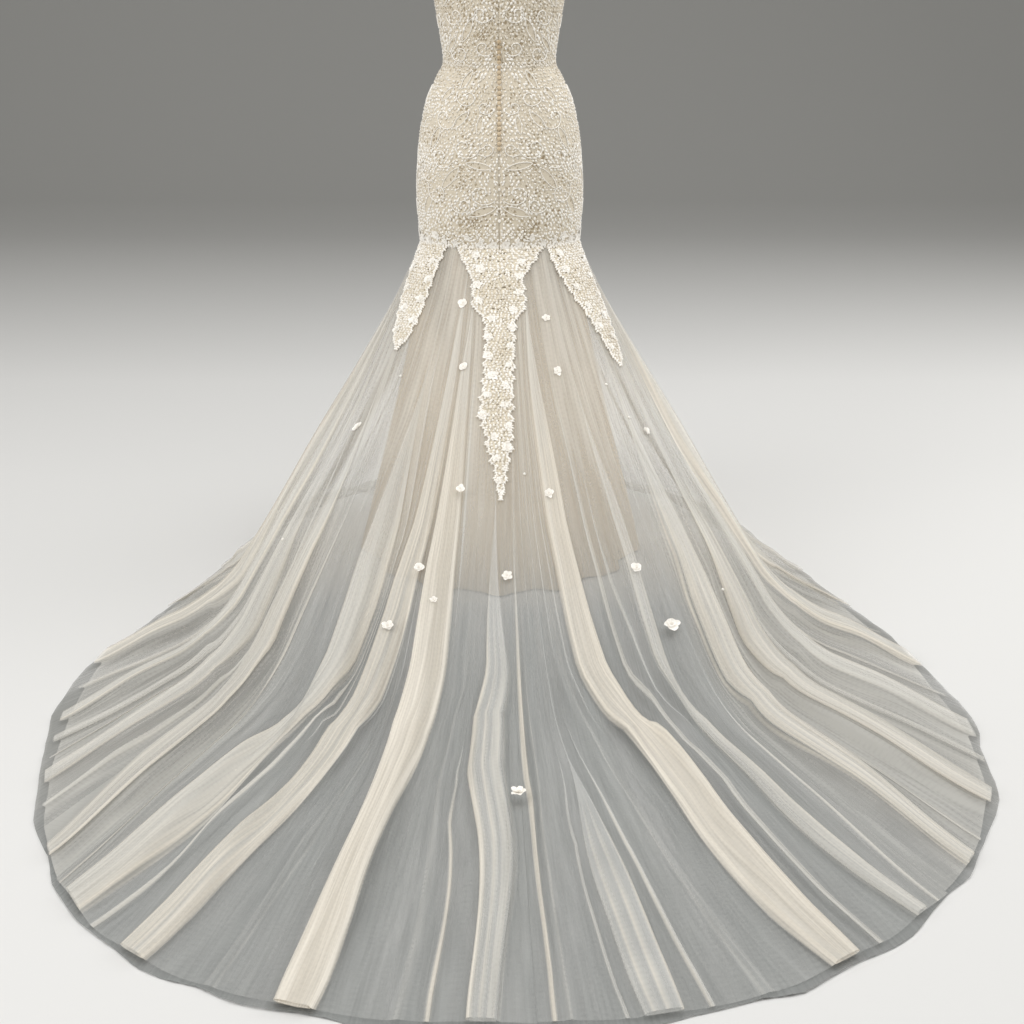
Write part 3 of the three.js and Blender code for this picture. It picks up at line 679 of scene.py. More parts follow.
def give(piece: bpy.types.Object, name: str, values: Grid) -> None:
    """Gives each point of a piece a number that its material reads."""
    layer = piece.data.attributes.new(name, "FLOAT", "POINT")
    layer.data.foreach_set("value", np.asarray(values, float).ravel())


def dress(piece: bpy.types.Object, material: bpy.types.Material, slot: str, *nodes: str) -> None:
    """Gives a piece its material and hides the solids that it stands for."""
    piece.data.materials.append(material)
    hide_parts(*nodes)


def state_cut(piece: bpy.types.Object, points: Grid) -> None:
    """States a sheet's flat cut, taken from its grid of points, with its area and its number of faces."""
    flat, area = cut_size(points)
    LOG.info("%s: cut %s m, %.3f m2, %d faces", piece.name, flat, area, len(piece.data.polygons))


def grid_uv(points: Grid) -> Grid:
    """A place on the flat cloth for each point of a grid: its distance across and down, in metres."""
    across = np.linalg.norm(np.diff(points, axis=0), axis=-1)
    across = np.concatenate([np.zeros((1, points.shape[1])), np.cumsum(across, 0)])
    middle = np.median(across, axis=1, keepdims=True) * np.ones_like(across)
    down = np.linalg.norm(np.diff(points, axis=1), axis=-1)
    down = np.concatenate([np.zeros((points.shape[0], 1)), np.cumsum(down, 1)], 1)
    return np.stack([middle, down], -1) * MM


def cut_size(points: Grid) -> tuple[tuple[float, float], float]:
    """The flat cut of a grid of cloth: its greatest width, its mean length, and its area, in metres."""
    across = np.linalg.norm(np.diff(points, axis=0), axis=-1).sum(0).max() * MM
    down = np.linalg.norm(np.diff(points, axis=1), axis=-1).sum(1).mean() * MM
    side_a, side_b = points[1:, 1:] - points[:-1, :-1], points[1:, :-1] - points[:-1, 1:]
    area = float(np.linalg.norm(np.cross(side_a, side_b), axis=-1).sum()) / 2 * MM * MM
    return (round(float(across), 3), round(float(down), 3)), min(area, across * down)


def closed_wall(outer: Grid, inner: Grid) -> tuple[Grid, Grid]:
    """Joins two like grids of points into one closed wall.

    Args:
        outer: the outer face's points, as columns of rows.
        inner: the inner face's points.

    Returns:
        The points in one list, and the quads.
    """
    columns, rows = outer.shape[:2]
    face = face_grid(columns, rows)
    count = columns * rows
    number = np.arange(count).reshape(columns, rows)
    rim = np.concatenate([number[:, 0], number[-1, 1:], number[-2::-1, -1], number[0, -2:0:-1]])
    following = np.roll(rim, -1)
    side = np.stack([rim, following, following + count, rim + count], -1)
    points = np.concatenate([outer.reshape(-1, 3), inner.reshape(-1, 3)])
    return points, np.concatenate([face, face[:, ::-1] + count, side])


# Paths of a fold across the cloth: how far across in half widths, and how high in shares of its height.
RIBBON_PATH = [
    (-1.2, 0.0), (-0.6, 0.02), (0.3, 0.04), (0.8, 0.08), (0.96, 0.17), (0.98, 0.29), (0.86, 0.38),
    (0.3, 0.42), (-0.4, 0.46), (-0.86, 0.52), (-1.0, 0.62), (-1.02, 0.76), (-0.9, 0.93), (-0.7, 1.0),
    (-0.52, 0.96), (-0.34, 1.02), (-0.16, 0.97), (0.02, 1.02), (0.2, 0.96), (0.38, 1.0), (0.56, 0.93),
    (0.74, 0.92), (0.92, 0.82), (1.04, 0.48), (1.16, 0.14), (1.32, 0.0),
]
TUCK_PATH = [
    (-2.2, 0.0), (0.1, 0.06), (0.85, 0.22), (0.85, 0.42), (-0.6, 0.54), (-1.0, 0.78), (-0.6, 1.0),
    (0.5, 0.94), (1.3, 0.42), (2.2, 0.0),
]
ROUND_PATH = [(-2.0, 0.0), (-1.2, 0.18), (-0.6, 0.72), (0.0, 1.0), (0.6, 0.72), (1.2, 0.18), (2.0, 0.0)]
PATHS = {R: RIBBON_PATH, T: TUCK_PATH, S: ROUND_PATH}

# Angles, lifts and how closely the cloth is pressed, as columns of rows.
Block = tuple[Grid, Grid, Grid]


def hem_share(station: Grid) -> Grid:
    """How far the cloth has come from lying on the floor to its hem, from station 1.5 on."""
    return smooth((station - 1.5) / 0.5)


def train_share(angle: Grid) -> Grid:
    """How fully an angle belongs to the train's tip, from 0 at the sides to 1."""
    return smooth((np.cos(np.radians(angle)) - 0.1) / 0.5)


def side_share(angle: Grid) -> Grid:
    """How fully an angle belongs to the sides between train and front, where the cloth is gathered."""
    aside = np.abs(turned(angle))
    return smooth((aside - 40) / 16) * smooth((125 - aside) / 20)


@dataclass
class OuterTulle:
    """The outer layer of tulle: five gores whose flare is folded over itself into ribbons and thin tucks.

    A gore is made column by column. Each fold is a path across the cloth that follows the skirt from the
    hip to the hem, and plain columns fill the way from one fold to the next. Sizes are in millimetres, and
    hem_cut is how far the plain hem is cut back or left long, at random, at each of its knots in degrees.
    It reaches tip_reach past the form's hem at the train's tip. There its folds reach fold_tip further, and
    at the sides fold_reach.
    """

    finish: SilkTulle
    rows: int = 64
    plain_step: float = 2.2
    heights: dict[FoldKind, float] = field(default_factory=lambda: {R: 8.5, T: 3.2, S: 4.0})
    large_half: float = 10.0
    hem_cut: tuple[float, float] = (-18.0, 2.0)
    hem_knots: float = 4.5
    tip_reach: float = 10.0
    fold_reach: float = 26.0
    fold_tip: float = 4.0
    seed: int = 11
    laid: list[Grid] = field(default_factory=list)

    def stations(self) -> Grid:
        """Rows of the sheet, closer where it turns onto the floor."""
        share = np.linspace(0, 1, self.rows)
        return 2 * (share + 0.035 * np.sin(2 * np.pi * share))

    def folds_in(self, start: float, end: float) -> list[Fold]:
        """All folds of a gore in order: wide tucks lie as ribbons, and the thinnest turn back."""
        tucks = []
        for angle, first, last, half, weight in TUCKS:
            kind, turn = R if half > 7 else T, 1 if half > 3 else -1
            tucks.append(Fold(angle, 0.0, 0.0, first, False, kind, half, weight, turn, 6.0, last))
        every = [f._replace(angle=f.angle + shift) for f in FOLDS + tucks for shift in (0, 360)]
        return sorted((f for f in every if start < f.angle < end), key=lambda f: f.angle)

    def lean(self, angle: Grid, stations: Grid) -> Grid:
        """Angles at each row of folds that reach the hem at the given angle."""
        drawn = np.interp(angle, LEAN_HEM, LEAN_HIP) - angle
        return angle + drawn * np.interp(stations, LEAN_STATIONS, LEAN_SHARES)

    def sway(self, fold: Fold, stations: Grid, phase: Grid) -> Grid:
        """How a fold strays to its sides: two slow waves, and a kink where a ribbon meets the floor."""
        waves = np.sin(3.1 * stations + phase[0]) + 0.45 * np.sin(8.3 * stations + phase[1])
        if fold.kind is R:
            kink = np.interp(stations, [0.7, 0.9, 1.06, 1.5], [0.0, -1.0, 0.7, 0.0])
            waves += 1.4 * kink * np.sign(fold.angle)
        return waves

    def milky(self, fold: Fold, x: Grid, z: Grid, phase: Grid, chance: np.random.Generator) -> Grid:
        """How milky each column of a fold is: edges most, partly for the cloth turned there and partly as
        painted highlight lines, and the light folds near the middle in strands.
        """
        spread = 0.3 if fold.weight > 0.9 else 0.65
        # Columns at the fold's edges are made milkier and whiter: partly the turned cloth, partly painted
        # highlight lines along the edges.
        inside = np.where(np.abs(x) > 0.84, 1.3, 0.82) * chance.uniform(1 - spread, 1 + 0.8 * spread, len(x))
        if abs(fold.angle) < 20 and fold.weight < 0.7:
            strands = 1 + 0.75 * np.sin(9 * x + phase[0])
            inside *= np.where(z < 0.6, 0.35, strands)
        inside[[0, -1]] = 0.0
        return inside

    def fold_columns(self, fold: Fold, low: Grid, high: Grid, chance: np.random.Generator) -> Block:
        """The columns of one fold.

        Args:
            fold: the fold.
            low: how far down in angle it may reach at each row.
            high: how far up in angle it may reach at each row.
            chance: where its own unevenness comes from.

        Returns:
            Angles, lifts and how closely the cloth is pressed together, as columns of rows.
        """
        x, z = np.array(PATHS[fold.kind]).T
        if fold.turn < 0:
            x, z = -x[::-1], z[::-1]
        stations = self.stations()
        wanted = self.lean(np.full(stations.shape, fold.angle), stations)
        middle = np.clip(wanted, low + 0.3 * (high - low), high - 0.3 * (high - low))
        edge = SKIRT_FORM.plain(middle + 0.5, stations) - SKIRT_FORM.plain(middle - 0.5, stations)
        per_degree = np.linalg.norm(edge, axis=-1)
        room = np.minimum(middle - low, high - middle) * per_degree
        grown = smooth((stations - max(fold.start, fold.opens) + 0.12) / 0.55)
        grown = grown * smooth((fold.end - stations) / 0.6)
        uneven = 1 + 0.16 * np.sin(2.9 * stations + fold.angle)
        uneven = uneven + 0.09 * np.sin(7.1 * stations + 2 * fold.angle)
        half = fold.half * uneven * (0.03 + 0.97 * grown)
        widest = np.abs(x).max()
        limit = room / widest
        width = (half**-6.0 + limit**-6.0) ** (-1 / 6)
        phase = chance.uniform(0, 2 * np.pi, 2)
        if abs(fold.angle) < 6:
            phase = np.array([2.6, 1.0])
        spare = np.maximum(room - widest * width, 0.0)
        wander = np.clip(self.sway(fold, stations, phase) * fold.stray * grown, -spare, spare)
        angle = middle + (wander + np.outer(x, width)) / per_degree
        lift = np.outer(z, self.heights[fold.kind] * (0.06 + 0.94 * grown))
        return angle, lift, np.outer(self.milky(fold, x, z, phase, chance), fold.weight * grown)

    def blocks(self, start: float, end: float, chance: np.random.Generator) -> list[Block]:
        """The folds of a gore in order: the large ones take the room they need, the small ones what is left.

        Args:
            start: the gore's first seam, as an angle.
            end: its last seam.
            chance: where the folds' unevenness comes from.

        Returns:
            A block of columns for each fold, with one for each seam at the ends.
        """
        stations = self.stations()
        none = np.zeros((1, self.rows))
        every = self.folds_in(start, end)
        large = [f for f in every if f.kind is R and f.half > self.large_half]
        edges = [start, *(f.angle for f in large), end]
        middles = [self.lean(np.full(self.rows, a), stations) for a in edges]
        reach = [0.0, *(f.half for f in large), 0.0]
        placed = [(none + start, none, none)]
        for k, fold in enumerate(large, 1):
            before = (middles[k] - middles[k - 1]) * reach[k] / (reach[k] + reach[k - 1])
            after = (middles[k + 1] - middles[k]) * reach[k] / (reach[k] + reach[k + 1])
            low, high = middles[k] - 0.97 * before, middles[k] + 0.97 * after
            placed.append(self.fold_columns(fold, low, high, chance))
        placed.append((none + end, none, none))
        made = [placed[0]]
        for k, (low, high) in enumerate(zip(edges, edges[1:])):
            small = [f for f in every if low < f.angle < high and f not in large]
            free, span = placed[k][0][-1], placed[k + 1][0][0] - placed[k][0][-1]
            for j, fold in enumerate(small):
                below = free + span * (j + 0.04) / len(small)
                above = free + span * (j + 0.96) / len(small)
                made.append(self.fold_columns(fold, below, above, chance))
            made.append(placed[k + 1])
        return made

    def columns(self, start: float, end: float, chance: np.random.Generator) -> Block:
        """All columns of a gore: its folds, with plain ones between them that veil a little unevenly."""
        blocks = self.blocks(start, end, chance)
        columns = [blocks[0]]
        for before, after in zip(blocks, blocks[1:]):
            low, high = before[0][-1], after[0][0]
            count = max(1, int(np.ceil((high - low).max() / self.plain_step)))
            shares = (np.arange(1, count) / count)[:, None]
            flat = np.zeros((count - 1, self.rows))
            veils = flat + chance.uniform(0, 0.5, (count - 1, 1))
            columns.append((low + (high - low) * shares, flat, veils))
            columns.append(after)
        angle, lift, pressed = (np.concatenate(part) for part in zip(*columns))
        return angle, lift, pressed

    def sheet(self, start: float, end: float) -> tuple[Grid, Grid]:
        """The points of one gore.

        Args:
            start: its first seam, as an angle.
            end: its last seam.

        Returns:
            The points and how closely each is pressed, as columns of rows.
        """
        stations = self.stations()
        chance = np.random.default_rng(self.seed + int(start + 360))
        angle, lift, pressed = self.columns(start, end, chance)
        side = side_share(angle)
        pressed *= np.where(lift > 0, 1.0, (0.15 + 0.85 * side) * smooth(stations / 0.8))
        gathered = np.maximum(0.55 * smooth((0.8 - stations) / 0.5), 0.4 * side * smooth(stations / 0.8))
        knots = np.arange(-180, 361, self.hem_knots)
        cut = np.interp(angle[:, -1:], knots, chance.uniform(*self.hem_cut, len(knots)))
        tip = train_share(angle[:, -1:])
        folded = self.fold_reach - (self.fold_reach - self.fold_tip) * tip
        reaches = self.tip_reach * tip + folded * smooth(lift[:, -1:] / 4)
        lying = SKIRT_FORM.lengths(angle)[5][..., 0]
        shift = cut * (1 - 0.5 * tip) + reaches - 0.4 * lift[:, -1:]
        station = stations + hem_share(stations) * shift / lying
        ease = np.minimum(1, 0.15 + stations / 0.25)
        droop = hem_share(stations) * (0.08 * OUTER_REST + 0.85 * SKIRT_FORM.swell(angle, station))
        points = SKIRT_FORM.point(angle, station, lift * ease - droop - 0.5 * TULLE_WALL)
        return points, np.maximum(pressed, gathered)

    def build(self) -> None:
        """Makes the five gores."""
        material = self.finish.material()
        for name, (start, end) in GORES.items():
            points, pressed = self.sheet(start + 0.01, end - 0.01)
            piece = cloth_mesh("outer_" + name, points, face_grid(*points.shape[:2]), grid_uv(points))
            give(piece, "pressed", pressed)
            dress(piece, material, "outer_tulle", "tulle_outer_" + name)
            state_cut(piece, points)
            self.laid.append(points.reshape(-1, 3))

    def height(self, angle: float, station: float, reach: float) -> float:
        """How high the folded cloth stands over its plain lie near a place.

        Args:
            angle: the place's angle.
            station: its station.
            reach: how far round it the cloth is looked at, in millimetres.

        Returns:
            The height of the highest point there, in millimetres.
        """
        place = SKIRT_FORM.point(np.array(angle), np.array(station), np.zeros(()))
        out = SKIRT_FORM.normal(np.array(angle), np.array(station))
        away = np.concatenate(self.laid) - place
        up = away @ out
        near = np.linalg.norm(away - up[:, None] * out, axis=1) < reach
        return float(np.max(up[near & (np.abs(up) < 20)], initial=0.0))


@dataclass
class UnderTulle:
    """The under layer: a closer grey net that lies on the floor and reaches a little past the outer hem.
    Where it lies it is painted a darker grey, partly as shade of the floor under the train.

    Its columns are so many degrees wide. Its hem runs in and out by hem_cut millimetres at random, at each of
    its knots in degrees, and by hem_wave in a slow wave.
    """

    finish: SilkTulle
    column: float = 1.4
    rows: int = 60
    hem_cut: tuple[float, float] = (-14.0, 13.0)
    hem_knots: float = 3.6
    hem_wave: float = 4.0
    seed: int = 4

    def build(self) -> None:
        """Makes the five gores."""
        material = self.finish.material()
        for name, (start, end) in GORES.items():
            count = int((end - start) / self.column) + 2
            angle = np.linspace(start + 0.01, end - 0.01, count)[:, None] * np.ones(self.rows)
            station = np.linspace(0, 2, self.rows) * np.ones((count, 1))
            points = self.place(angle, station)
            piece = cloth_mesh("under_" + name, points, face_grid(count, self.rows), grid_uv(points))
            aside = np.abs(turned(angle))
            front = 0.3 * smooth((aside - 45) / 25) + 0.35 * smooth((aside - 100) / 20)
            # pressed darkens the net towards dark grey and closes it where it lies on the floor, partly as
            # painted shade of the floor under the train, and less towards the sides and the front.
            give(piece, "pressed", smooth((station - 0.5) / 0.4) * (1 - front))
            dress(piece, material, "under_tulle", "tulle_under_" + name)
            state_cut(piece, points)

    def place(self, angle: Grid, station: Grid) -> Grid:
        """Points of the under layer, with slack waves and a hem that is cut a little unevenly."""
        ease = smooth(station / 0.3)
        points = SKIRT_FORM.plain(angle, station)
        normal = SKIRT_FORM.normal(angle, station)
        _, floor, hem, *_ = SKIRT_FORM.lengths(angle)
        tip = train_share(angle)
        knots = np.arange(-180, 361, self.hem_knots)
        cut = np.random.default_rng(self.seed).uniform(*self.hem_cut, len(knots))
        uneven = self.hem_wave * np.sin(0.47 * angle) + np.interp(angle, knots, cut)
        reach = HEM_REACH_SIDE + (HEM_REACH_TIP - HEM_REACH_SIDE) * tip + uneven * (1 - 0.4 * tip)
        points += unit(hem - floor) * (reach * hem_share(station))[..., None]
        wave = np.sin(1.9 * angle + 1.5 * np.sin(2.2 * station)) + np.sin(4.3 * angle - 2 * station)
        lift = -UNDER_INSET + (TULLE_WALL + UNDER_INSET) * ease
        lift = lift + (1.1 + wave) * smooth((station - 0.25) / 0.4)
        return points + normal * (lift - 0.5 * TULLE_WALL)[..., None]


@dataclass
class Lining:
    """The champagne lining: a narrower skirt to the floor with a wavy hem and soft folds.

    Its hem lies so many millimetres from the middle at the back, the sides and the front, and its walls are
    drawn in between the hip and the hem.
    """

    finish: DuchesseSatin
    back: float = 350.0
    side: float = 320.0
    front: float = 320.0
    waves: int = 14
    wave_depth: float = 13.0
    draw: float = 10.0
    inset: float = UNDER_INSET + TULLE_WALL + 1.8
    columns: int = 181
    rows: int = 46

    def place(self, angle: Grid, share: Grid) -> Grid:
        """Points of the lining, from the hip edge at share 0 to its hem at share 1."""
        a = np.radians(angle)
        top = FITTED_FORM.plain(angle, np.full(angle.shape, HIP_EDGE), self.inset + 0.5)
        depth = np.where(np.cos(a) >= 0, self.back, self.front)
        wave = self.wave_depth * np.cos(self.waves * a)
        x = (self.side + wave) * np.sin(a)
        y = -(depth + wave) * np.cos(a)
        hem = np.stack([x, y, np.full(a.shape, FLOOR + 3)], -1)
        points = top + (hem - top) * share[..., None]
        out = np.stack([np.sin(a), -np.cos(a), np.zeros(a.shape)], -1)
        fine = 3.0 * np.sin(self.waves * 2.3 * a + 2 * share) * smooth(share * 1.3)
        move = -wave * (share - smooth(share)) - self.draw * np.sin(np.pi * share) + fine - 3
        return points + out * move[..., None]

    def build(self) -> None:
        """Makes the two halves."""
        material = self.finish.material()
        for name, start, end in (("back", -90.0, 90.0), ("front", 90.0, 270.0)):
            angle = np.linspace(start + 0.02, end - 0.02, self.columns)[:, None] * np.ones(self.rows)
            share = np.linspace(0, 1, self.rows) * np.ones((self.columns, 1))
            points = self.place(angle, share)
            tucked = np.full((self.columns, 1), HIP_EDGE + TUCKED_UP)
            top = FITTED_FORM.plain(angle[:, :1], tucked, self.inset + 0.7)
            points = np.concatenate([top, points], 1)
            piece = cloth_mesh("lining_skirt_" + name, points, face_grid(*points.shape[:2]), grid_uv(points))
            dress(piece, material, "lining", "lining_" + name)
            state_cut(piece, points)


@dataclass
class FittedLace:
    """The bodice and hip: corded lace laid over nude net and lining, in six panels.

    Sizes are in millimetres: around is the mean way round the body for a degree. A panel ends seam degrees
    before its neighbour.
    """

    finish: CordedLace
    inside: DuchesseSatin
    column: float = 6.0
    row: float = 6.0
    wall: float = 1.6
    around: float = 2.75
    seam: float = 0.06

    @staticmethod
    def neck(angle: Grid) -> Grid:
        """The height of the bodice's top edge."""
        keys, heights = zip(*NECKLINE)
        return curve(keys, heights, np.abs(turned(angle)))

    @staticmethod
    def waist(angle: Grid) -> Grid:
        """The height of the hip's top edge, level at the waist seam."""
        return np.full(angle.shape, -SEAM_GAP / 2)

    def fullness(self, angle: Grid, height: Grid) -> Grid:
        """How full the cording is: 1 in the white bands, 0 where the nude ground shows most."""
        across = np.abs(turned(angle)) * 2.6
        back = smooth((75 - np.abs(turned(angle))) / 20)
        lower = smooth((-height - 4) / 20) * 0.35 + 0.25
        windows = np.exp(-(((across - 52) / 22) ** 2) - ((height + 340) / 24) ** 2) * back
        lobes = np.exp(-(((across - 66) / 20) ** 2) - ((height + 195) / 34) ** 2) * back
        bands = np.zeros(across.shape)
        for middle, rise, tall in ((30, 60, 70), (-40, 95, 60), (-140, 60, 80), (-250, 90, 70)):
            sweep = middle + rise * np.sin(across / 62 + middle)
            bands = np.maximum(bands, np.exp(-(((height - sweep) / (tall * 0.16)) ** 2)))
        return np.clip(lower + 0.6 * bands - 1.3 * windows - 0.7 * lobes, 0, 1)

    def panel(
        self, part: str, side: str, top: Callable[[Grid], Grid], low: float, coats: list[bpy.types.Material]
    ) -> None:
        """Makes one panel as a thin closed shell.

        Args:
            part: bodice or hip.
            side: which panel of it, as in PANELS.
            top: the height of its upper edge at angles.
            low: the height of its lower edge.
            coats: the materials of its outside and its inside.
        """
        start, end = PANELS[side]
        columns = int((end - start) * self.around / self.column) + 1
        angle = np.linspace(start + self.seam, end - self.seam, columns)
        high = top(angle)
        rows = int((high.max() - low) / self.row) + 1
        share = np.linspace(0, 1, rows)
        height = high[:, None] + (low - high[:, None]) * share
        angle = angle[:, None] * np.ones(rows)
        outer = FITTED_FORM.point(angle, height, np.zeros(angle.shape))
        inner = FITTED_FORM.point(angle, height, np.full(angle.shape, -self.wall))
        points, faces = closed_wall(outer, inner)
        uv = np.stack([np.concatenate([angle.ravel()] * 2) * self.around * MM, points[:, 2] * MM], -1)
        piece = cloth_mesh(f"lace_{part}_{side}", points, faces, uv)
        give(piece, "fullness", np.tile(self.fullness(angle, height).ravel(), 2))
        dress(piece, coats[0], "lace", f"{part}_{side}")
        piece.data.materials.append(coats[1])
        count = len(face_grid(columns, rows))
        index = np.zeros(len(faces), int)
        index[count : 2 * count] = 1
        piece.data.polygons.foreach_set("material_index", index)
        state_cut(piece, outer)

    def build(self) -> None:
        """Makes the six panels."""
        coats = [self.finish.material(), self.inside.material()]
        for side in PANELS:
            self.panel("bodice", side, self.neck, SEAM_GAP / 2, coats)
            self.panel("hip", side, self.waist, HIP_EDGE, coats)


# A small form of unit size: its points, its triangles and a tone for each point, darker where it meets the
# cloth as painted shade.
Form = tuple[Grid, Grid, Grid]


def dome_form(sides: int, rings: Sequence[tuple[float, float]]) -> Form:
    """A low dome of unit radius.

    Args:
        sides: corners in each ring.
        rings: each ring's radius and height; the last is the crown.

    Returns:
        Points, triangles and a tone for each point, which follows its height: the dome is painted darker
        towards its foot, as shade.
    """
    turn = np.arange(sides) * 2 * np.pi / sides
    points = [[r * np.cos(t), r * np.sin(t), z] for r, z in rings[:-1] for t in turn] + [[0, 0, rings[-1][1]]]
    faces = []
    for k in range(len(rings) - 2):
        for i in range(sides):
            j = (i + 1) % sides
            a, b, c, d = k * sides + i, k * sides + j, (k + 1) * sides + j, (k + 1) * sides + i
            faces += [[a, b, c], [a, c, d]]
    top = (len(rings) - 2) * sides
    faces += [[top + i, top + (i + 1) % sides, top + sides] for i in range(sides)]
    points = np.array(points)
    # The tone follows height, so the foot is painted darker as shade.
    return points, np.array(faces), points[:, 2] / points[:, 2].max()


def flower_form(petals: int, cup: float, seed: int) -> Form:
    """A lace flower of unit radius: a round of open petals, a smaller cupped round and a beaded middle.

    Args:
        petals: petals in each round.
        cup: how far the petals' ends stand up.
        seed: picks the petals' small differences.

    Returns:
        Points, triangles and a tone for each point: each petal is painted darker towards the middle as shade,
        and the beads there get the darkest tone.
    """
    chance = np.random.default_rng(seed)
    parts: list[Form] = []
    for radius, base, lift, shift in ((1.0, 0.1, cup, 0.0), (0.6, 0.22, cup * 1.3, 0.5)):
        for k in range(petals):
            long = radius * chance.uniform(0.72, 1.15)
            wide = radius * 4.7 / petals * chance.uniform(0.8, 1.1)
            t, s = np.meshgrid(np.linspace(0.08, 1, 6), np.linspace(-1, 1, 5), indexing="ij")
            reach = long * (t - 0.12 * s**2 * t)
            side = 0.5 * wide * s * np.sin(np.pi * np.clip(0.12 + 0.72 * t, 0, 1)) ** 0.8
            up = base + lift * t**2 + 0.1 * radius * s**2 * t - 0.05 * radius * np.cos(s * 9) * t
            theta = (k + shift + chance.uniform(-0.08, 0.08)) * 2 * np.pi / petals
            x = reach * np.cos(theta) - side * np.sin(theta)
            y = reach * np.sin(theta) + side * np.cos(theta)
            quads = face_grid(6, 5)
            triangles = np.concatenate([quads[:, [0, 2, 1]], quads[:, [0, 3, 2]]])[:, ::-1]
            # Each petal's tone rises from its root to its tip: painted shade towards the flower's middle.
            parts.append((np.stack([x, y, up], -1).reshape(-1, 3), triangles, (0.25 + 0.75 * t).ravel()))
    bead, bead_faces, _ = dome_form(6, [(1.0, 0.0), (0.8, 0.6), (0.0, 1.0)])
    for k in range(5):
        theta = k * 2 * np.pi / 5
        middle = [0.13 * np.cos(theta), 0.13 * np.sin(theta), 0.3]
        parts.append((bead * [0.11, 0.11, 0.14] + middle, bead_faces, np.full(len(bead), 0.1)))
    starts = np.cumsum([0, *(len(part) for part, _, _ in parts)])
    points, faces, tones = zip(*parts)
    faces = [triangles + start for triangles, start in zip(faces, starts)]
    return np.concatenate(points), np.concatenate(faces), np.concatenate(tones)


PETAL = dome_form(6, [(1.0, -0.35), (0.72, 0.75), (0.0, 1.0)])
ROUND_BEAD = dome_form(6, [(1.0, 0.0), (0.8, 0.7), (0.0, 1.0)])


class Relief:
    """Raised lace on a surface, collected into one mesh."""

    def __init__(self, surface: Surface, seed: int = 3) -> None:
        """Starts an empty collection on that surface."""
        self.surface = surface
        self.chance = np.random.default_rng(seed)
        self.points: list[Grid] = []
        self.faces: list[Grid] = []
        self.tones: list[Grid] = []
        self.count = 0

    def add(self, points: Grid, faces: Grid, tones: Grid) -> None:
        """Adds points, triangles and tones."""
        self.points.append(points.reshape(-1, 3))
        self.faces.append(faces.reshape(-1, 3) + self.count)
        self.tones.append(np.broadcast_to(tones, points.shape[:-1]).ravel())
        self.count += len(self.points[-1])

    def stamp(
        self, form: Form, angle: Grid, along: Grid, turn: Grid, size: Sequence, tone: Grid, lift: float = 0.0
    ) -> None:
        """Sets a form at many places.

        Args:
            form: points, triangles and tones of the form.
            angle: the places' angles.
            along: the places' second measure.
            turn: how far each is turned, in degrees.
            size: half width, half length and height in millimetres, numbers or one for each place.
            tone: each one's tone, from 0 beige to 1 white, which the form's tones darken towards its foot as
                painted shade.
            lift: how far out of the cloth they stand.
        """
        angle, along = np.atleast_1d(angle).astype(float), np.atleast_1d(along).astype(float)
        if not len(angle):
            return
        shape, faces, tones = form
        place, across, up, out = self.surface.frame(angle, along, np.full(angle.shape, lift))
        wide, long, high = (np.broadcast_to(v, angle.shape)[:, None] for v in size)
        x, y, z = shape[:, 0] * wide, shape[:, 1] * long, shape[:, 2] * high
        t = np.radians(np.broadcast_to(turn, angle.shape))[:, None]
        across_by, up_by = x * np.cos(t) - y * np.sin(t), x * np.sin(t) + y * np.cos(t)
        points = place[:, None] + across[:, None] * across_by[..., None]
        points = points + up[:, None] * up_by[..., None] + out[:, None] * z[..., None]
        number = np.arange(len(angle))[:, None, None] * len(shape)
        # Each place's own tone, darkened by the form's tones towards its foot: painted shade.
        own = np.broadcast_to(tone, angle.shape)[:, None] * (0.45 + 0.55 * tones)
        self.add(points, faces[None] + number, own)

    def pair(
        self, form: Form, angle: Grid, along: Grid, turn: Grid, size: Sequence, tone: Grid, lift: float
    ) -> None:
        """Sets a form at places of the right half, and mirrored on the left."""
        self.stamp(form, angle, along, turn, size, tone, lift)
        self.stamp(form, -angle, along, -np.asarray(turn), size, tone, lift)

    def cord(self, angle: Grid, along: Grid, width: float, high: float, tone: float, lift: float) -> None:
        """Lays a round cord.

        Args:
            angle: the angles along its path.
            along: the path's second measure.
            width: its width in millimetres.
            high: its height in millimetres.
            tone: from 0 beige to 1 white.
            lift: how far out of the cloth it lies.
        """
        place, _, _, out = self.surface.frame(angle, along, np.full(len(angle), lift))
        run = unit(np.gradient(place, axis=0))
        side = np.cross(out, run)
        bow = np.linspace(0, np.pi, 5)
        number = np.arange(len(angle))
        taper = np.minimum(1, np.minimum(number + 0.4, number[::-1] + 0.4) / 3)
        half = (width / 2 * taper)[:, None, None]
        points = place[:, None] - side[:, None] * half * np.cos(bow)[:, None]
        points = points + out[:, None] * (high * np.sin(bow)[:, None] - 0.2)
        quads = face_grid(len(angle), 5)
        self.add(points, np.concatenate([quads[:, :3], quads[:, [0, 2, 3]]]), np.array(tone))

    def piece(self, name: str, material: bpy.types.Material) -> bpy.types.Object:
        """Makes the collected lace as one piece."""
        made = cloth_mesh(name, np.concatenate(self.points), np.concatenate(self.faces))
        give(made, "tone", np.concatenate(self.tones))
        made.data.materials.append(material)
        LOG.info("%s: %d triangles", name, len(made.data.polygons))
        return made


class Opening(NamedTuple):
    """A plain place in the lace, shaped like a leaf, where the nude ground shows."""

    across: float
    height: float
    half_long: float
    half_wide: float
    tilt: float


class Scroll(NamedTuple):
    """A curling cord on the lace: the middle of its curl, its size, how far it winds and which way."""

    across: float
    height: float
    size: float
    start: float
    winds: float


class LacePart(NamedTuple):
    """A part of the embroidery: its name, heights and angles, and the neckline where it reaches that."""

    name: str
    low: float
    high: float
    first: float
    last: float
    top: Callable[[Grid], Grid] | None


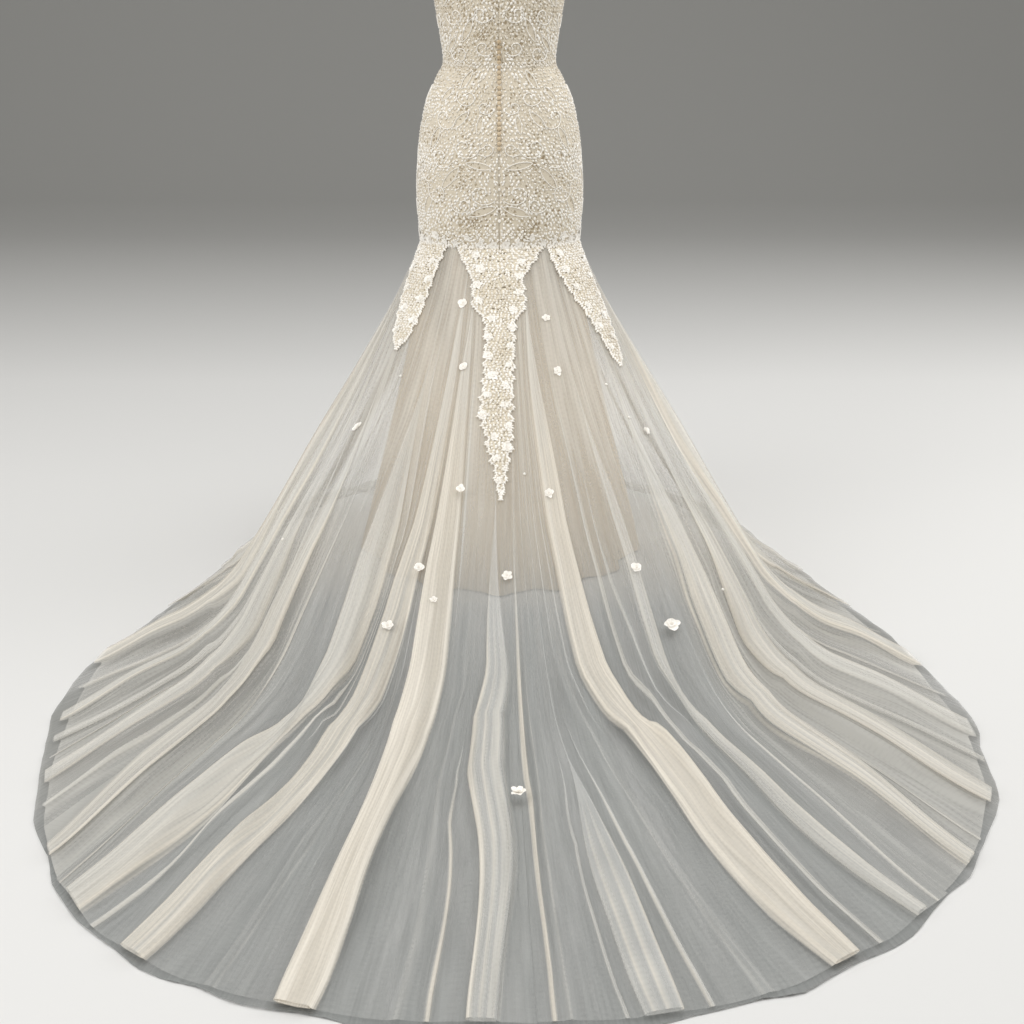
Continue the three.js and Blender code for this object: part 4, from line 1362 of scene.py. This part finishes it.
OPENINGS = (
    Opening(30, -300, 26, 8, 68), Opening(36, -204, 24, 7, -78), Opening(92, -232, 30, 8, 38),
    Opening(128, -150, 26, 8, 30), Opening(70, -112, 24, 7, 42), Opening(34, -120, 20, 5, 10),
    Opening(150, -290, 30, 9, 30), Opening(60, -30, 22, 6, 30), Opening(100, -60, 20, 6, 44),
    Opening(60, 70, 26, 7, 24), Opening(100, 40, 22, 6, 40), Opening(110, 140, 28, 8, 30),
    Opening(210, -240, 34, 9, 40), Opening(215, -120, 30, 9, 30), Opening(250, 60, 26, 8, 30),
)
SCROLLS = (
    Scroll(30, -262, 24, 200, 430), Scroll(66, -286, 22, 20, -400), Scroll(62, -166, 26, 160, 420),
    Scroll(22, -168, 16, 330, -380), Scroll(112, -188, 24, 200, 420), Scroll(120, -262, 26, 40, -420),
    Scroll(24, -84, 16, 180, 400), Scroll(56, -64, 22, 30, -400), Scroll(104, -108, 24, 190, 420),
    Scroll(150, -216, 26, 220, 400), Scroll(28, 36, 18, 200, 400), Scroll(78, 24, 22, 20, -400),
    Scroll(32, 104, 20, 180, 400), Scroll(88, 100, 22, 10, -400), Scroll(190, -180, 28, 200, 420),
    Scroll(232, -300, 28, 20, -420), Scroll(180, -60, 26, 200, 420), Scroll(235, -50, 26, 200, 420),
    Scroll(150, 90, 22, 20, -420), Scroll(200, 150, 24, 200, 420), Scroll(190, 40, 22, 20, -400),
)
LACE_PARTS = (
    LacePart("raised_lace_hip_back", HIP_EDGE + 2, 3.0, 0.0, 90.0, None),
    LacePart("raised_lace_hip_front", HIP_EDGE + 2, 3.0, 90.0, 180.0, None),
    LacePart("raised_lace_bodice_back", 4.0, 207.0, 0.0, 90.0, FittedLace.neck),
    LacePart("raised_lace_bodice_front", 4.0, 300.0, 90.0, 180.0, FittedLace.neck),
)


@dataclass
class RaisedLace:
    """The embroidery on the bodice and hip: close petals that run in sweeps, scrolls, flowers and beads.

    Sizes are in millimetres: the petals' pitch, half width and half length, and the width of the cords.
    """

    stitch: SatinStitch
    openings: tuple[Opening, ...] = OPENINGS
    scrolls: tuple[Scroll, ...] = SCROLLS
    pitch: float = 8.2
    petal_half: float = 2.7
    petal_long: float = 4.1
    scroll_cord: float = 1.9
    rim_cord: float = 1.8

    def girth(self, height: Grid) -> Grid:
        """Millimetres across for each degree at a height."""
        heights, *rows = FITTED_FORM.rows
        half, back, front = (curve(heights, row, height) for row in rows)
        return np.pi / 180 * ((half + 0.5 * back + 0.5 * front) / 2)

    def inside(self, opening: Opening, across: Grid, height: Grid) -> Grid:
        """Whether places lie in an opening."""
        t = math.radians(opening.tilt)
        x, y = across - opening.across, height - opening.height
        along, side = x * math.sin(t) - y * math.cos(t), x * math.cos(t) + y * math.sin(t)
        shape = 1 - (along / opening.half_long) ** 2
        return np.abs(side) < opening.half_wide * np.clip(shape, 0, 1)

    def places(self, low: float, high: float, first: float, last: float) -> tuple[Grid, Grid]:
        """Staggered places for petals.

        Args:
            low: the lowest height.
            high: the highest.
            first: the first angle.
            last: the last.

        Returns:
            The places' angles and their heights.
        """
        angles, heights = [], []
        chance = np.random.default_rng(int(first) + 7)
        for k, height in enumerate(np.arange(low, high, self.pitch * 0.86)):
            step = self.pitch / float(self.girth(np.array(height)))
            angle = np.arange(first + step * (0.25 + 0.5 * (k % 2)), last, step)
            angles.append(angle + chance.uniform(-0.3, 0.3, len(angle)) * step)
            heights.append(height + chance.uniform(-0.3, 0.3, len(angle)) * self.pitch)
        return np.concatenate(angles), np.concatenate(heights)

    def petals(self, relief: Relief, part: LacePart) -> None:
        """Fills a part of the lace with close petals, except in its openings."""
        chance = relief.chance
        angle, height = self.places(part.low, part.high, part.first, part.last)
        across = angle * self.girth(height)
        keep = np.ones(len(angle), bool)
        if part.top is not None:
            keep &= height < part.top(angle) - 3
        for opening in self.openings:
            keep &= ~self.inside(opening, across, height)
        keep &= chance.random(len(angle)) > 0.04
        angle, height, across = angle[keep], height[keep], across[keep]
        turn = 46 * smooth(across / 60) + 34 * np.sin(height / 31 + across / 37)
        turn = turn + chance.uniform(-38, 38, len(angle))
        sweep = 0.5 + 0.5 * np.sin(height / 19 + across / 24 + 1.6 * np.sin(across / 41))
        lower = smooth((-height - 20) / 300)
        tone = np.clip(0.5 + 0.25 * sweep + 0.25 * lower + chance.uniform(-0.25, 0.25, len(angle)), 0.15, 1)
        grow = 0.84 + 0.24 * sweep + chance.uniform(-0.2, 0.2, len(angle))
        size = (self.petal_half * grow, self.petal_long * grow, 1.6 + 0.6 * sweep)
        relief.pair(PETAL, angle, height, turn, size, tone, 0.0)

    def curls(self, relief: Relief, part: LacePart) -> None:
        """Lays the scrolls of a part as cords."""
        share = np.linspace(0, 1, 46)
        for scroll in self.scrolls:
            middle = scroll.across / float(self.girth(np.array(scroll.height)))
            if not (part.low < scroll.height < part.high and part.first < middle < part.last):
                continue
            theta = np.radians(scroll.start + scroll.winds * share)
            reach = scroll.size * (1.12 - share) ** 1.1
            across = scroll.across + reach * np.cos(theta)
            height = np.clip(scroll.height + reach * np.sin(theta), part.low + 3, part.high - 3)
            angle = np.clip(across / self.girth(height), part.first + 0.3, part.last - 0.3)
            for side in (1, -1):
                relief.cord(side * angle, height, self.scroll_cord, self.scroll_cord, 0.75, 0.9)

    def rims(self, relief: Relief, part: LacePart) -> None:
        """Cords the edges of a part's openings."""
        t = np.linspace(0, 2 * np.pi, 34)
        for opening in self.openings:
            tilt = math.radians(opening.tilt)
            along = opening.half_long * np.cos(t)
            side = opening.half_wide * np.sin(t) * np.abs(np.sin(t)) ** 0.6
            across = opening.across + along * math.sin(tilt) + side * math.cos(tilt)
            height = opening.height - along * math.cos(tilt) + side * math.sin(tilt)
            height = np.clip(height, part.low + 2, part.high - 2)
            angle = across / self.girth(height)
            level = part.low + 8 < opening.height < part.high - 8
            if level and angle.min() >= part.first and angle.max() <= part.last:
                for mirrored in (1, -1):
                    relief.cord(mirrored * angle, height, self.rim_cord, 1.6, 0.75, 0.6)

    def build(self) -> None:
        """Makes the embroidery of the hip and of the bodice, back and front, in four meshes."""
        material = self.stitch.material()
        for part in LACE_PARTS:
            relief = Relief(FITTED_FORM)
            self.petals(relief, part)
            self.curls(relief, part)
            self.rims(relief, part)
            if part.top is None:
                self.lower_edge(relief, part)
            else:
                self.waist_row(relief, part)
                self.scallops(relief, part)
            relief.piece(part.name, material)

    def waist_row(self, relief: Relief, part: LacePart) -> None:
        """Covers the waist seam with petals, as the lace's own edge is sewn over it."""
        angle = np.arange(part.first + 1.2, part.last, 2.7)
        height = relief.chance.uniform(-4.0, 4.0, len(angle))
        turn = relief.chance.uniform(-40, 40, len(angle))
        tone = relief.chance.uniform(0.2, 0.6, len(angle))
        relief.pair(PETAL, angle, height, turn, (self.petal_half, self.petal_long, 2.0), tone, 0.0)

    def scallops(self, relief: Relief, part: LacePart) -> None:
        """Edges the neckline with petals that point up and a cord below them."""
        angle = np.arange(part.first + 0.8, part.last - 0.4, 2.6)
        fine = np.linspace(part.first + 0.2, part.last - 0.2, 90)
        for side in (1, -1):
            relief.stamp(PETAL, side * angle, part.top(angle) - 1.8, side * 8.0, (2.7, 4.2, 1.6), 0.62, 0.2)
            relief.cord(side * fine, part.top(fine) - 6.0, 1.6, 1.6, 0.5, 0.4)

    def lower_edge(self, relief: Relief, part: LacePart) -> None:
        """Edges the hip with small petals, flowers, beads, and leaves that fall over the seam."""
        first, last, chance = part.first, part.last, relief.chance
        rose_angle = np.arange(first + 4.5, last - 2, 9.3)
        rose_angle = rose_angle + chance.uniform(-1.5, 1.5, len(rose_angle))
        size = 8.5 + 1.8 * np.sin(rose_angle * 1.9)
        angle, height = self.places(HIP_EDGE + 3, HIP_EDGE + 40, first + 0.5, last - 0.5)
        keep = chance.random(len(height)) < 1.1 - (height - HIP_EDGE) / 45
        angle, height = angle[keep], height[keep]
        turn = chance.uniform(0, 180, len(height))
        relief.pair(PETAL, angle, height, turn, (2.6, 3.6, 2.4), 0.95, 0.5)
        height = HIP_EDGE + 14 + 9 * np.sin(rose_angle * 0.9)
        turn = chance.uniform(0, 60, len(rose_angle))
        relief.pair(flower_form(5, 0.22, 5), rose_angle, height, turn, (size, size, size * 0.4), 0.95, 1.4)
        angle = np.arange(first + 1.2, last - 0.8, 2.5)
        height = HIP_EDGE + 2.5 + 1.5 * np.sin(angle * 1.7)
        relief.pair(PETAL, angle, height, 20 * np.sin(angle * 2.2), (3.2, 6.2, 1.8), 0.95, 0.6)
        angle = np.arange(first + 2, last - 1, 3.1)
        height = HIP_EDGE + 24 + 5 * np.sin(angle)
        relief.pair(ROUND_BEAD, angle, height, 0.0, (1.6, 1.6, 1.6), 1.0, 1.0)


class DropRow(NamedTuple):
    """One level of a lace drop: how far it lies below the hip edge and the angles of its two edges."""

    down: float
    left: float
    right: float


@dataclass
class LaceDrop:
    """A tongue of lace laid down the tulle from the hip: net, close petals, flowers and corded edges."""

    name: str
    edges: list[DropRow]
    stitch: SatinStitch
    ground: CordedLace
    flowers: int
    rows: int = 150
    columns: int = 15
    pitch: float = 7.4
    lift: float = 2.6
    seed: int = 5

    def edge(self, down: Grid) -> tuple[Grid, Grid]:
        """The angles of both edges at distances below the hip edge."""
        keys, left, right = zip(*self.edges)
        narrow = smooth((self.edges[-1].down - down) / 90)
        rough = (0.5 * np.sin(down / 6.1) + 0.6 * np.sin(down / 3.4 + 1)) * narrow
        other = (0.5 * np.sin(down / 5.3 + 2) + 0.6 * np.sin(down / 3.9)) * narrow
        low = np.interp(down, keys, left) + rough
        high = np.interp(down, keys, right) + other
        pinch = 0.4 * (high - low) * smooth((down - self.edges[-1].down + 30) / 30)
        return low + pinch, high - pinch

    def station(self, angle: Grid, down: Grid) -> Grid:
        """The station that lies so far below the hip edge."""
        return down / SKIRT_FORM.lengths(angle)[4][..., 0]

    def place(self, down: Grid, share: Grid) -> tuple[Grid, Grid]:
        """Angle and station at a distance below the hip edge and a share of the width from the left."""
        left, right = self.edge(down)
        angle = left + (right - left) * share
        return angle, self.station(angle, down)

    def build(self) -> None:
        """Makes the ground sheet and the raised lace on it."""
        first, last = self.edges[0].down, self.edges[-1].down
        down = np.linspace(first, last, self.rows) * np.ones((self.columns, 1))
        share = np.linspace(0, 1, self.columns)[:, None] * np.ones(self.rows)
        angle, station = self.place(down, share)
        points = SKIRT_FORM.point(angle, station, np.full(angle.shape, self.lift - 0.7))
        faces = face_grid(self.columns, self.rows)
        sheet = cloth_mesh("lace_ground_" + self.name, points, faces, grid_uv(points))
        give(sheet, "fullness", np.full(angle.shape, 0.6))
        dress(sheet, self.ground.material(), "applique", "lace_drop_" + self.name)
        state_cut(sheet, points)
        relief = Relief(SKIRT_FORM, self.seed)
        self.petals(relief, first, last)
        self.edging(relief, first, last)
        self.blossoms(relief, first, last)
        relief.piece("raised_lace_drop_" + self.name, self.stitch.material())

    def width(self, down: float) -> float:
        """Millimetres across at a distance below the hip edge."""
        ends = np.array([0.0, 1.0])
        angle, station = self.place(np.full(2, down), ends)
        points = SKIRT_FORM.plain(angle, station)
        return float(np.linalg.norm(points[1] - points[0]))

    def petals(self, relief: Relief, first: float, last: float) -> None:
        """Covers the drop with close petals."""
        downs, shares = [], []
        for k, down in enumerate(np.arange(first + 2, last, self.pitch * 0.8)):
            count = max(1, int(self.width(down) / self.pitch))
            shares.append((np.arange(count) + 0.3 + 0.4 * (k % 2)) / count)
            downs.append(np.full(count, down))
        down, share = np.concatenate(downs), np.concatenate(shares)
        chance = relief.chance
        down = down + chance.uniform(-1.5, 1.5, len(down))
        share = np.clip(share + chance.uniform(-0.02, 0.02, len(down)), 0.01, 0.99)
        angle, station = self.place(np.clip(down, first, last - 0.5), share)
        turn = (share - 0.5) * 120 + 40 * np.sin(down / 17) + chance.uniform(-40, 40, len(down))
        tone = np.clip(0.8 + 0.15 * np.sin(down / 23) + chance.uniform(-0.35, 0.2, len(down)), 0.3, 1)
        grow = 1 + chance.uniform(-0.2, 0.25, len(down))
        relief.stamp(PETAL, angle, station, turn, (2.8 * grow, 3.8 * grow, 2.6 * grow), tone, self.lift)

    def edging(self, relief: Relief, first: float, last: float) -> None:
        """Cords both edges and sets small leaves along them, pointing out and down."""
        down = np.linspace(first, last, int((last - first) / 5))
        for share, side in ((0.0, 1), (1.0, -1)):
            angle, station = self.place(down, np.full(down.shape, share))
            relief.cord(angle, station, 1.7, 1.7, 0.9, self.lift)
            leaf = np.arange(first + 3, last - 2, 5.6)
            angle, station = self.place(leaf, np.full(leaf.shape, share))
            turn = side * (118 + 22 * np.sin(leaf / 9)) + relief.chance.uniform(-12, 12, len(leaf))
            grow = relief.chance.uniform(0.7, 1.35, len(leaf))
            relief.stamp(PETAL, angle, station, turn, (2.5, 4.6 * grow, 1.8), 0.95, self.lift)

    def blossoms(self, relief: Relief, first: float, last: float) -> None:
        """Sets flowers down the drop, larger where it is wide."""
        chance = relief.chance
        for k in range(self.flowers):
            down = first + 12 + (last - first - 20) * ((k + 0.5) / self.flowers) ** 1.15
            width = self.width(down)
            size = min(11.5, 4.5 + width * 0.16) * chance.uniform(0.8, 1.1)
            aside = (0.5 - min(0.5, 0.55 * size / width)) * (1 if k % 2 else -1)
            share = 0.5 + aside * chance.uniform(0.6, 1.0)
            angle, station = self.place(np.array([down]), np.array([share]))
            form = flower_form(5 + k % 2, 0.2, 20 + k)
            turn = chance.uniform(0, 90)
            relief.stamp(form, angle, station, turn, (size, size, size * 0.42), 1.0, self.lift + 0.5)


# The flowers on the train: the angle, the station and half the width in millimetres of each.
FLOWERS = (
    (-21, 0.125, 12), (26, 0.16, 10), (-16.5, 0.27, 11), (27, 0.28, 12), (-62.5, 0.43, 12),
    (62.5, 0.44, 12), (-12.5, 0.54, 10), (16.5, 0.545, 12), (-21.5, 0.71, 12), (2.5, 0.71, 12),
    (37.5, 0.72, 13), (-27, 0.82, 14), (43, 0.83, 17), (3.5, 1.33, 16),
)
FLOWER_BEADS = ((-47, 0.3), (50, 0.32), (56, 0.4), (-70, 0.72), (9, 0.5), (-84, 0.6), (62, 0.8))


@dataclass
class LaceFlowers:
    """The single lace flowers sewn here and there on the outer tulle, a smaller one, and a few single beads.

    The cloth below a flower is looked at as far as room millimetres past its edge, so it lies on the folds.
    """

    stitch: SatinStitch
    cloth: OuterTulle
    large: tuple[tuple[float, float, float], ...] = FLOWERS
    bud: tuple[float, float, float] = (-16.3, 0.775, 9.0)
    beads: tuple[tuple[float, float], ...] = FLOWER_BEADS
    room: float = 8.0

    def build(self) -> None:
        """Makes all the flowers in one mesh, each laid on the folds below it."""
        relief = Relief(SKIRT_FORM, 9)
        for k, (angle, station, size) in enumerate(self.large):
            form = flower_form(4 + k % 2, 0.22 + 0.08 * (k % 2), 60 + k)
            turn = float(relief.chance.uniform(0, 90))
            lift = self.cloth.height(angle, station, size + self.room)
            relief.stamp(form, angle, station, turn, (size, size * 0.85, size * 0.42), 0.95, lift)
        for angle, station in self.beads:
            lift = self.cloth.height(angle, station, 18.0)
            relief.stamp(ROUND_BEAD, angle, station, 0.0, (3.2, 3.2, 2.4), 1.0, lift)
        angle, station, size = self.bud
        lift = self.cloth.height(angle, station, size + self.room)
        size = (size, size * 0.85, size * 0.45)
        relief.stamp(flower_form(5, 0.3, 81), angle, station, 20.0, size, 0.95, lift)
        piece = relief.piece("lace_flowers", self.stitch.material())
        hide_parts(*[f"flower_{k + 1:02d}" for k in range(len(self.large))])


# A covered button's rings from its shank to its crown: radius and height as shares of the button's.
BUTTON_PROFILE = [
    (0.4, -0.3), (0.4, 0.24), (0.94, 0.26), (1.0, 0.42), (0.93, 0.64), (0.74, 0.84), (0.42, 0.96), (0.0, 1.0),
]


@dataclass
class CoveredButtons:
    """Satin-covered buttons down the centre back, each with a cord loop, from above the waist to the hip.

    Sizes are in millimetres, and around is the way round the body for a degree. A loop has so large a share
    of the button's radius, and lies loop_back millimetres and loop_aside degrees to the other side.
    """

    finish: DuchesseSatin
    count: int = 22
    top: float = 47.0
    bottom: float = -168.0
    radius: float = 4.5
    shank: float = 1.8
    height: float = 4.7
    sides: int = 14
    around: float = 1.7
    loop: float = 0.72
    loop_width: float = 1.2
    loop_height: float = 1.6
    loop_aside: float = 0.4
    loop_back: float = 0.6

    def build(self) -> None:
        """Makes the buttons as one mesh and the loops as another."""
        form = dome_form(self.sides, BUTTON_PROFILE)
        relief = Relief(FITTED_FORM, 4)
        heights = np.linspace(self.top, self.bottom, self.count)
        size = (self.radius, self.radius, self.height)
        relief.stamp(form, np.zeros(self.count), heights, 0.0, size, 0.8, 0.0)
        piece = relief.piece("covered_buttons", self.finish.material())
        uv = piece.data.uv_layers.new(name="cloth")
        corners = np.zeros(len(piece.data.loops), int)
        piece.data.loops.foreach_get("vertex_index", corners)
        points = np.concatenate(relief.points)[corners] * MM
        uv.data.foreach_set("uv", points[:, [0, 2]].ravel())
        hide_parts(*[f"button_{k + 1:02d}" for k in range(self.count)])
        loops = Relief(FITTED_FORM, 4)
        turn = np.linspace(-2.3, 2.3, 15)
        reach = self.radius * self.loop
        for height in heights:
            across = (reach * np.cos(turn) - self.loop_back) / self.around - self.loop_aside
            down = height + reach * np.sin(turn)
            loops.cord(across, down, self.loop_width, self.loop_height, 0.4, 0.2)
        loops.piece("button_loops", EMBROIDERY.material())


@dataclass
class Studio:
    """The plain pale floor, the soft lights and the camera at the photograph's angle.

    Places and sizes are in metres: the floor is half_wide to each side, from near to far, and bends up to
    top with a radius of bend, a little below the hem. The camera's lens and sensor are in millimetres, and
    steep is its angle from straight down.
    """

    floor: str = "#dedddb"
    wall: str = "#a3a29f"
    sky: str = "#d2d2d0"
    sky_strength: float = 0.72
    half_wide: float = 16.0
    near: float = -7.0
    far: float = 7.0
    top: float = 6.0
    bend: float = 3.0
    below: float = 0.0005
    eye: tuple[float, float, float] = (0.027, -3.552, 0.267)
    steep: float = 70.0
    lens: float = 56.25
    sensor: float = 36.0

    def build(self) -> None:
        """Makes the camera, the floor and the lights."""
        self.camera()
        self.ground()
        self.light("soft_overhead", (0.4, -1.2, 3.6), (0, -0.7, -0.8), 4.6, 128.0)
        self.light("soft_left", (-3.6, -2.6, 1.6), (0, -0.5, -0.7), 2.6, 70.0)
        self.light("soft_right", (3.4, 0.6, 1.2), (0, -0.4, -0.6), 2.6, 50.0)
        world = bpy.data.worlds.new("studio")
        world.use_nodes = True
        background = world.node_tree.nodes["Background"]
        background.inputs["Color"].default_value = linear(self.sky)
        background.inputs["Strength"].default_value = self.sky_strength
        bpy.context.scene.world = world
        bpy.context.scene.view_settings.view_transform = "Standard"

    def camera(self) -> None:
        """The camera stands behind the wearer, 1.36 m above the floor, and looks 20 degrees down."""
        data = bpy.data.cameras.new("photo_camera")
        data.sensor_width = self.sensor
        data.lens = self.lens
        data.dof.use_dof = False
        data.clip_end = 60.0
        eye = bpy.data.objects.new("photo_camera", data)
        eye.location = self.eye
        eye.rotation_euler = (math.radians(self.steep), 0.0, 0.0)
        bpy.context.scene.collection.objects.link(eye)
        bpy.context.scene.camera = eye

    def ground(self) -> None:
        """A wide plain floor that rises softly far behind the gown."""
        turn = np.linspace(0.1, math.pi / 2, 12)
        start, bend = self.far - self.bend, self.bend
        profile = [(self.near, 0.0), (start, 0.0)]
        profile += [(start + bend * math.sin(t), bend - bend * math.cos(t)) for t in turn]
        profile += [(self.far, self.top)]
        sides = (-self.half_wide, self.half_wide)
        corners = [(x, y, z + FLOOR * MM - self.below) for x in sides for y, z in profile]
        count = len(profile)
        faces = [(i, i + count, i + count + 1, i + 1) for i in range(count - 1)]
        mesh = bpy.data.meshes.new("studio_floor")
        mesh.from_pydata(corners, [], faces)
        mesh.shade_smooth()
        floor = bpy.data.objects.new("studio_floor", mesh)
        bpy.context.scene.collection.objects.link(floor)
        made = Shader("matt studio paint")
        place = made.node("ShaderNodeTexCoord").outputs["Object"]
        back = made.node("ShaderNodeSeparateXYZ", Vector=place).outputs["Y"]
        shade = made.span(back, 1.4, 4.6, 0.0, 1.0)
        colour = made.ramp(shade, [(0.0, self.floor), (1.0, self.wall)])
        made.set(Base_Color=colour, Roughness=0.85)
        mesh.materials.append(made.material)

    def light(self, name: str, place: tuple, target: tuple, size: float, power: float) -> None:
        """A square soft light.

        Args:
            name: its name.
            place: where it stands, in metres.
            target: the point that it faces.
            size: the length of its side.
            power: watts.
        """
        data = bpy.data.lights.new(name, "AREA")
        data.size = size
        data.energy = power
        lamp = bpy.data.objects.new(name, data)
        lamp.location = place
        lamp.rotation_euler = (Vector(target) - Vector(place)).to_track_quat("-Z", "Y").to_euler()
        bpy.context.scene.collection.objects.link(lamp)


# Net tulle with a milky ivory thread: one layer only veils, a pressed fold looks almost solid.
IVORY_TULLE = SilkTulle("ivory silk tulle", "#ebe4d7", "#e6e6e2", 0.08, 0.21, 0.46)
# A closer net in soft grey: where it lies seen along its surface, its threads close up to a cool, even tone.
# That dark grey is partly painted shade, standing in for the shaded floor under the train.
GREY_NET_AND_SHADE = SilkTulle("grey net with painted shade", "#868886", "#c2bbae", 0.12, 0.18, 0.7, 60.0, 4.0)
# Champagne satin: warm and matt, seen as a taupe shadow through both nets.
CHAMPAGNE = DuchesseSatin("champagne duchesse satin", "#ead9c0", "#dcc9ae")
# Nude satin inside the bodice: plain and warm.
NUDE = DuchesseSatin("nude satin facing", "#dccbb4", "#cfbda5")
# Beige satin over the buttons: a little darker than the lace, so that each shows.
BEIGE = DuchesseSatin("beige button satin", "#d9c6a8", "#b8a07c")
# Rayon cording on nude net: the quiet ground behind the petals, with small warm holes, painted darker than
# the nude satin, partly as shade between the cords.
CORDED = CordedLace("ivory corded lace", "#ddd2be", "#c4b498", "#a08e72", 8.0)
# The same lace on an open net, for the tongues laid on the tulle, its ground and holes darker still, partly
# as painted shade between the cords.
OPEN_LACE = CordedLace("open corded lace", "#ddd3bf", "#b9a98c", "#8f7e63", 6.5, 0.5)
# Ivory rayon satin stitch: brightest of all, with each petal a little lighter or darker, and painted darker
# towards its foot as shade.
EMBROIDERY = SatinStitch("ivory satin stitch", "#fffbf4", "#d2c6b0")

BACK_DROP = [
    DropRow(1.2, -31, 31), DropRow(35, -24, 23), DropRow(75, -17, 14), DropRow(115, -15.5, 14.5),
    DropRow(150, -14.5, 14.5), DropRow(180, -7.5, 8.5), DropRow(230, -6.4, 7.2), DropRow(320, -6.4, 6),
    DropRow(420, -7.6, 5), DropRow(455, -5, 5), DropRow(500, -3.6, 4.2), DropRow(540, -1.3, 2.8),
    DropRow(618, 0.3, 1.3),
]
LEFT_DROP = [
    DropRow(1.2, -79, -41), DropRow(60, -75, -45), DropRow(120, -71, -46), DropRow(180, -66, -47),
    DropRow(240, -61, -50), DropRow(275, -58, -53),
]
RIGHT_DROP = [
    DropRow(1.2, 36, 80), DropRow(60, 40, 76), DropRow(120, 46, 74), DropRow(180, 53, 72),
    DropRow(250, 58, 69), DropRow(320, 61, 66),
]


def main() -> None:
    """Builds the studio and every piece of the gown in order."""
    logging.basicConfig(level=logging.INFO, format="%(name)s: %(message)s")
    Studio().build()
    LOG.info("studio ready")
    FittedLace(CORDED, NUDE).build()
    RaisedLace(EMBROIDERY).build()
    CoveredButtons(BEIGE).build()
    UnderTulle(GREY_NET_AND_SHADE).build()
    Lining(CHAMPAGNE).build()
    outer = OuterTulle(IVORY_TULLE)
    outer.build()
    LaceDrop("back", BACK_DROP, EMBROIDERY, OPEN_LACE, 26).build()
    LaceDrop("left", LEFT_DROP, EMBROIDERY, OPEN_LACE, 10).build()
    LaceDrop("right", RIGHT_DROP, EMBROIDERY, OPEN_LACE, 12).build()
    LaceFlowers(EMBROIDERY, outer).build()


if __name__ == "__main__":
    main()
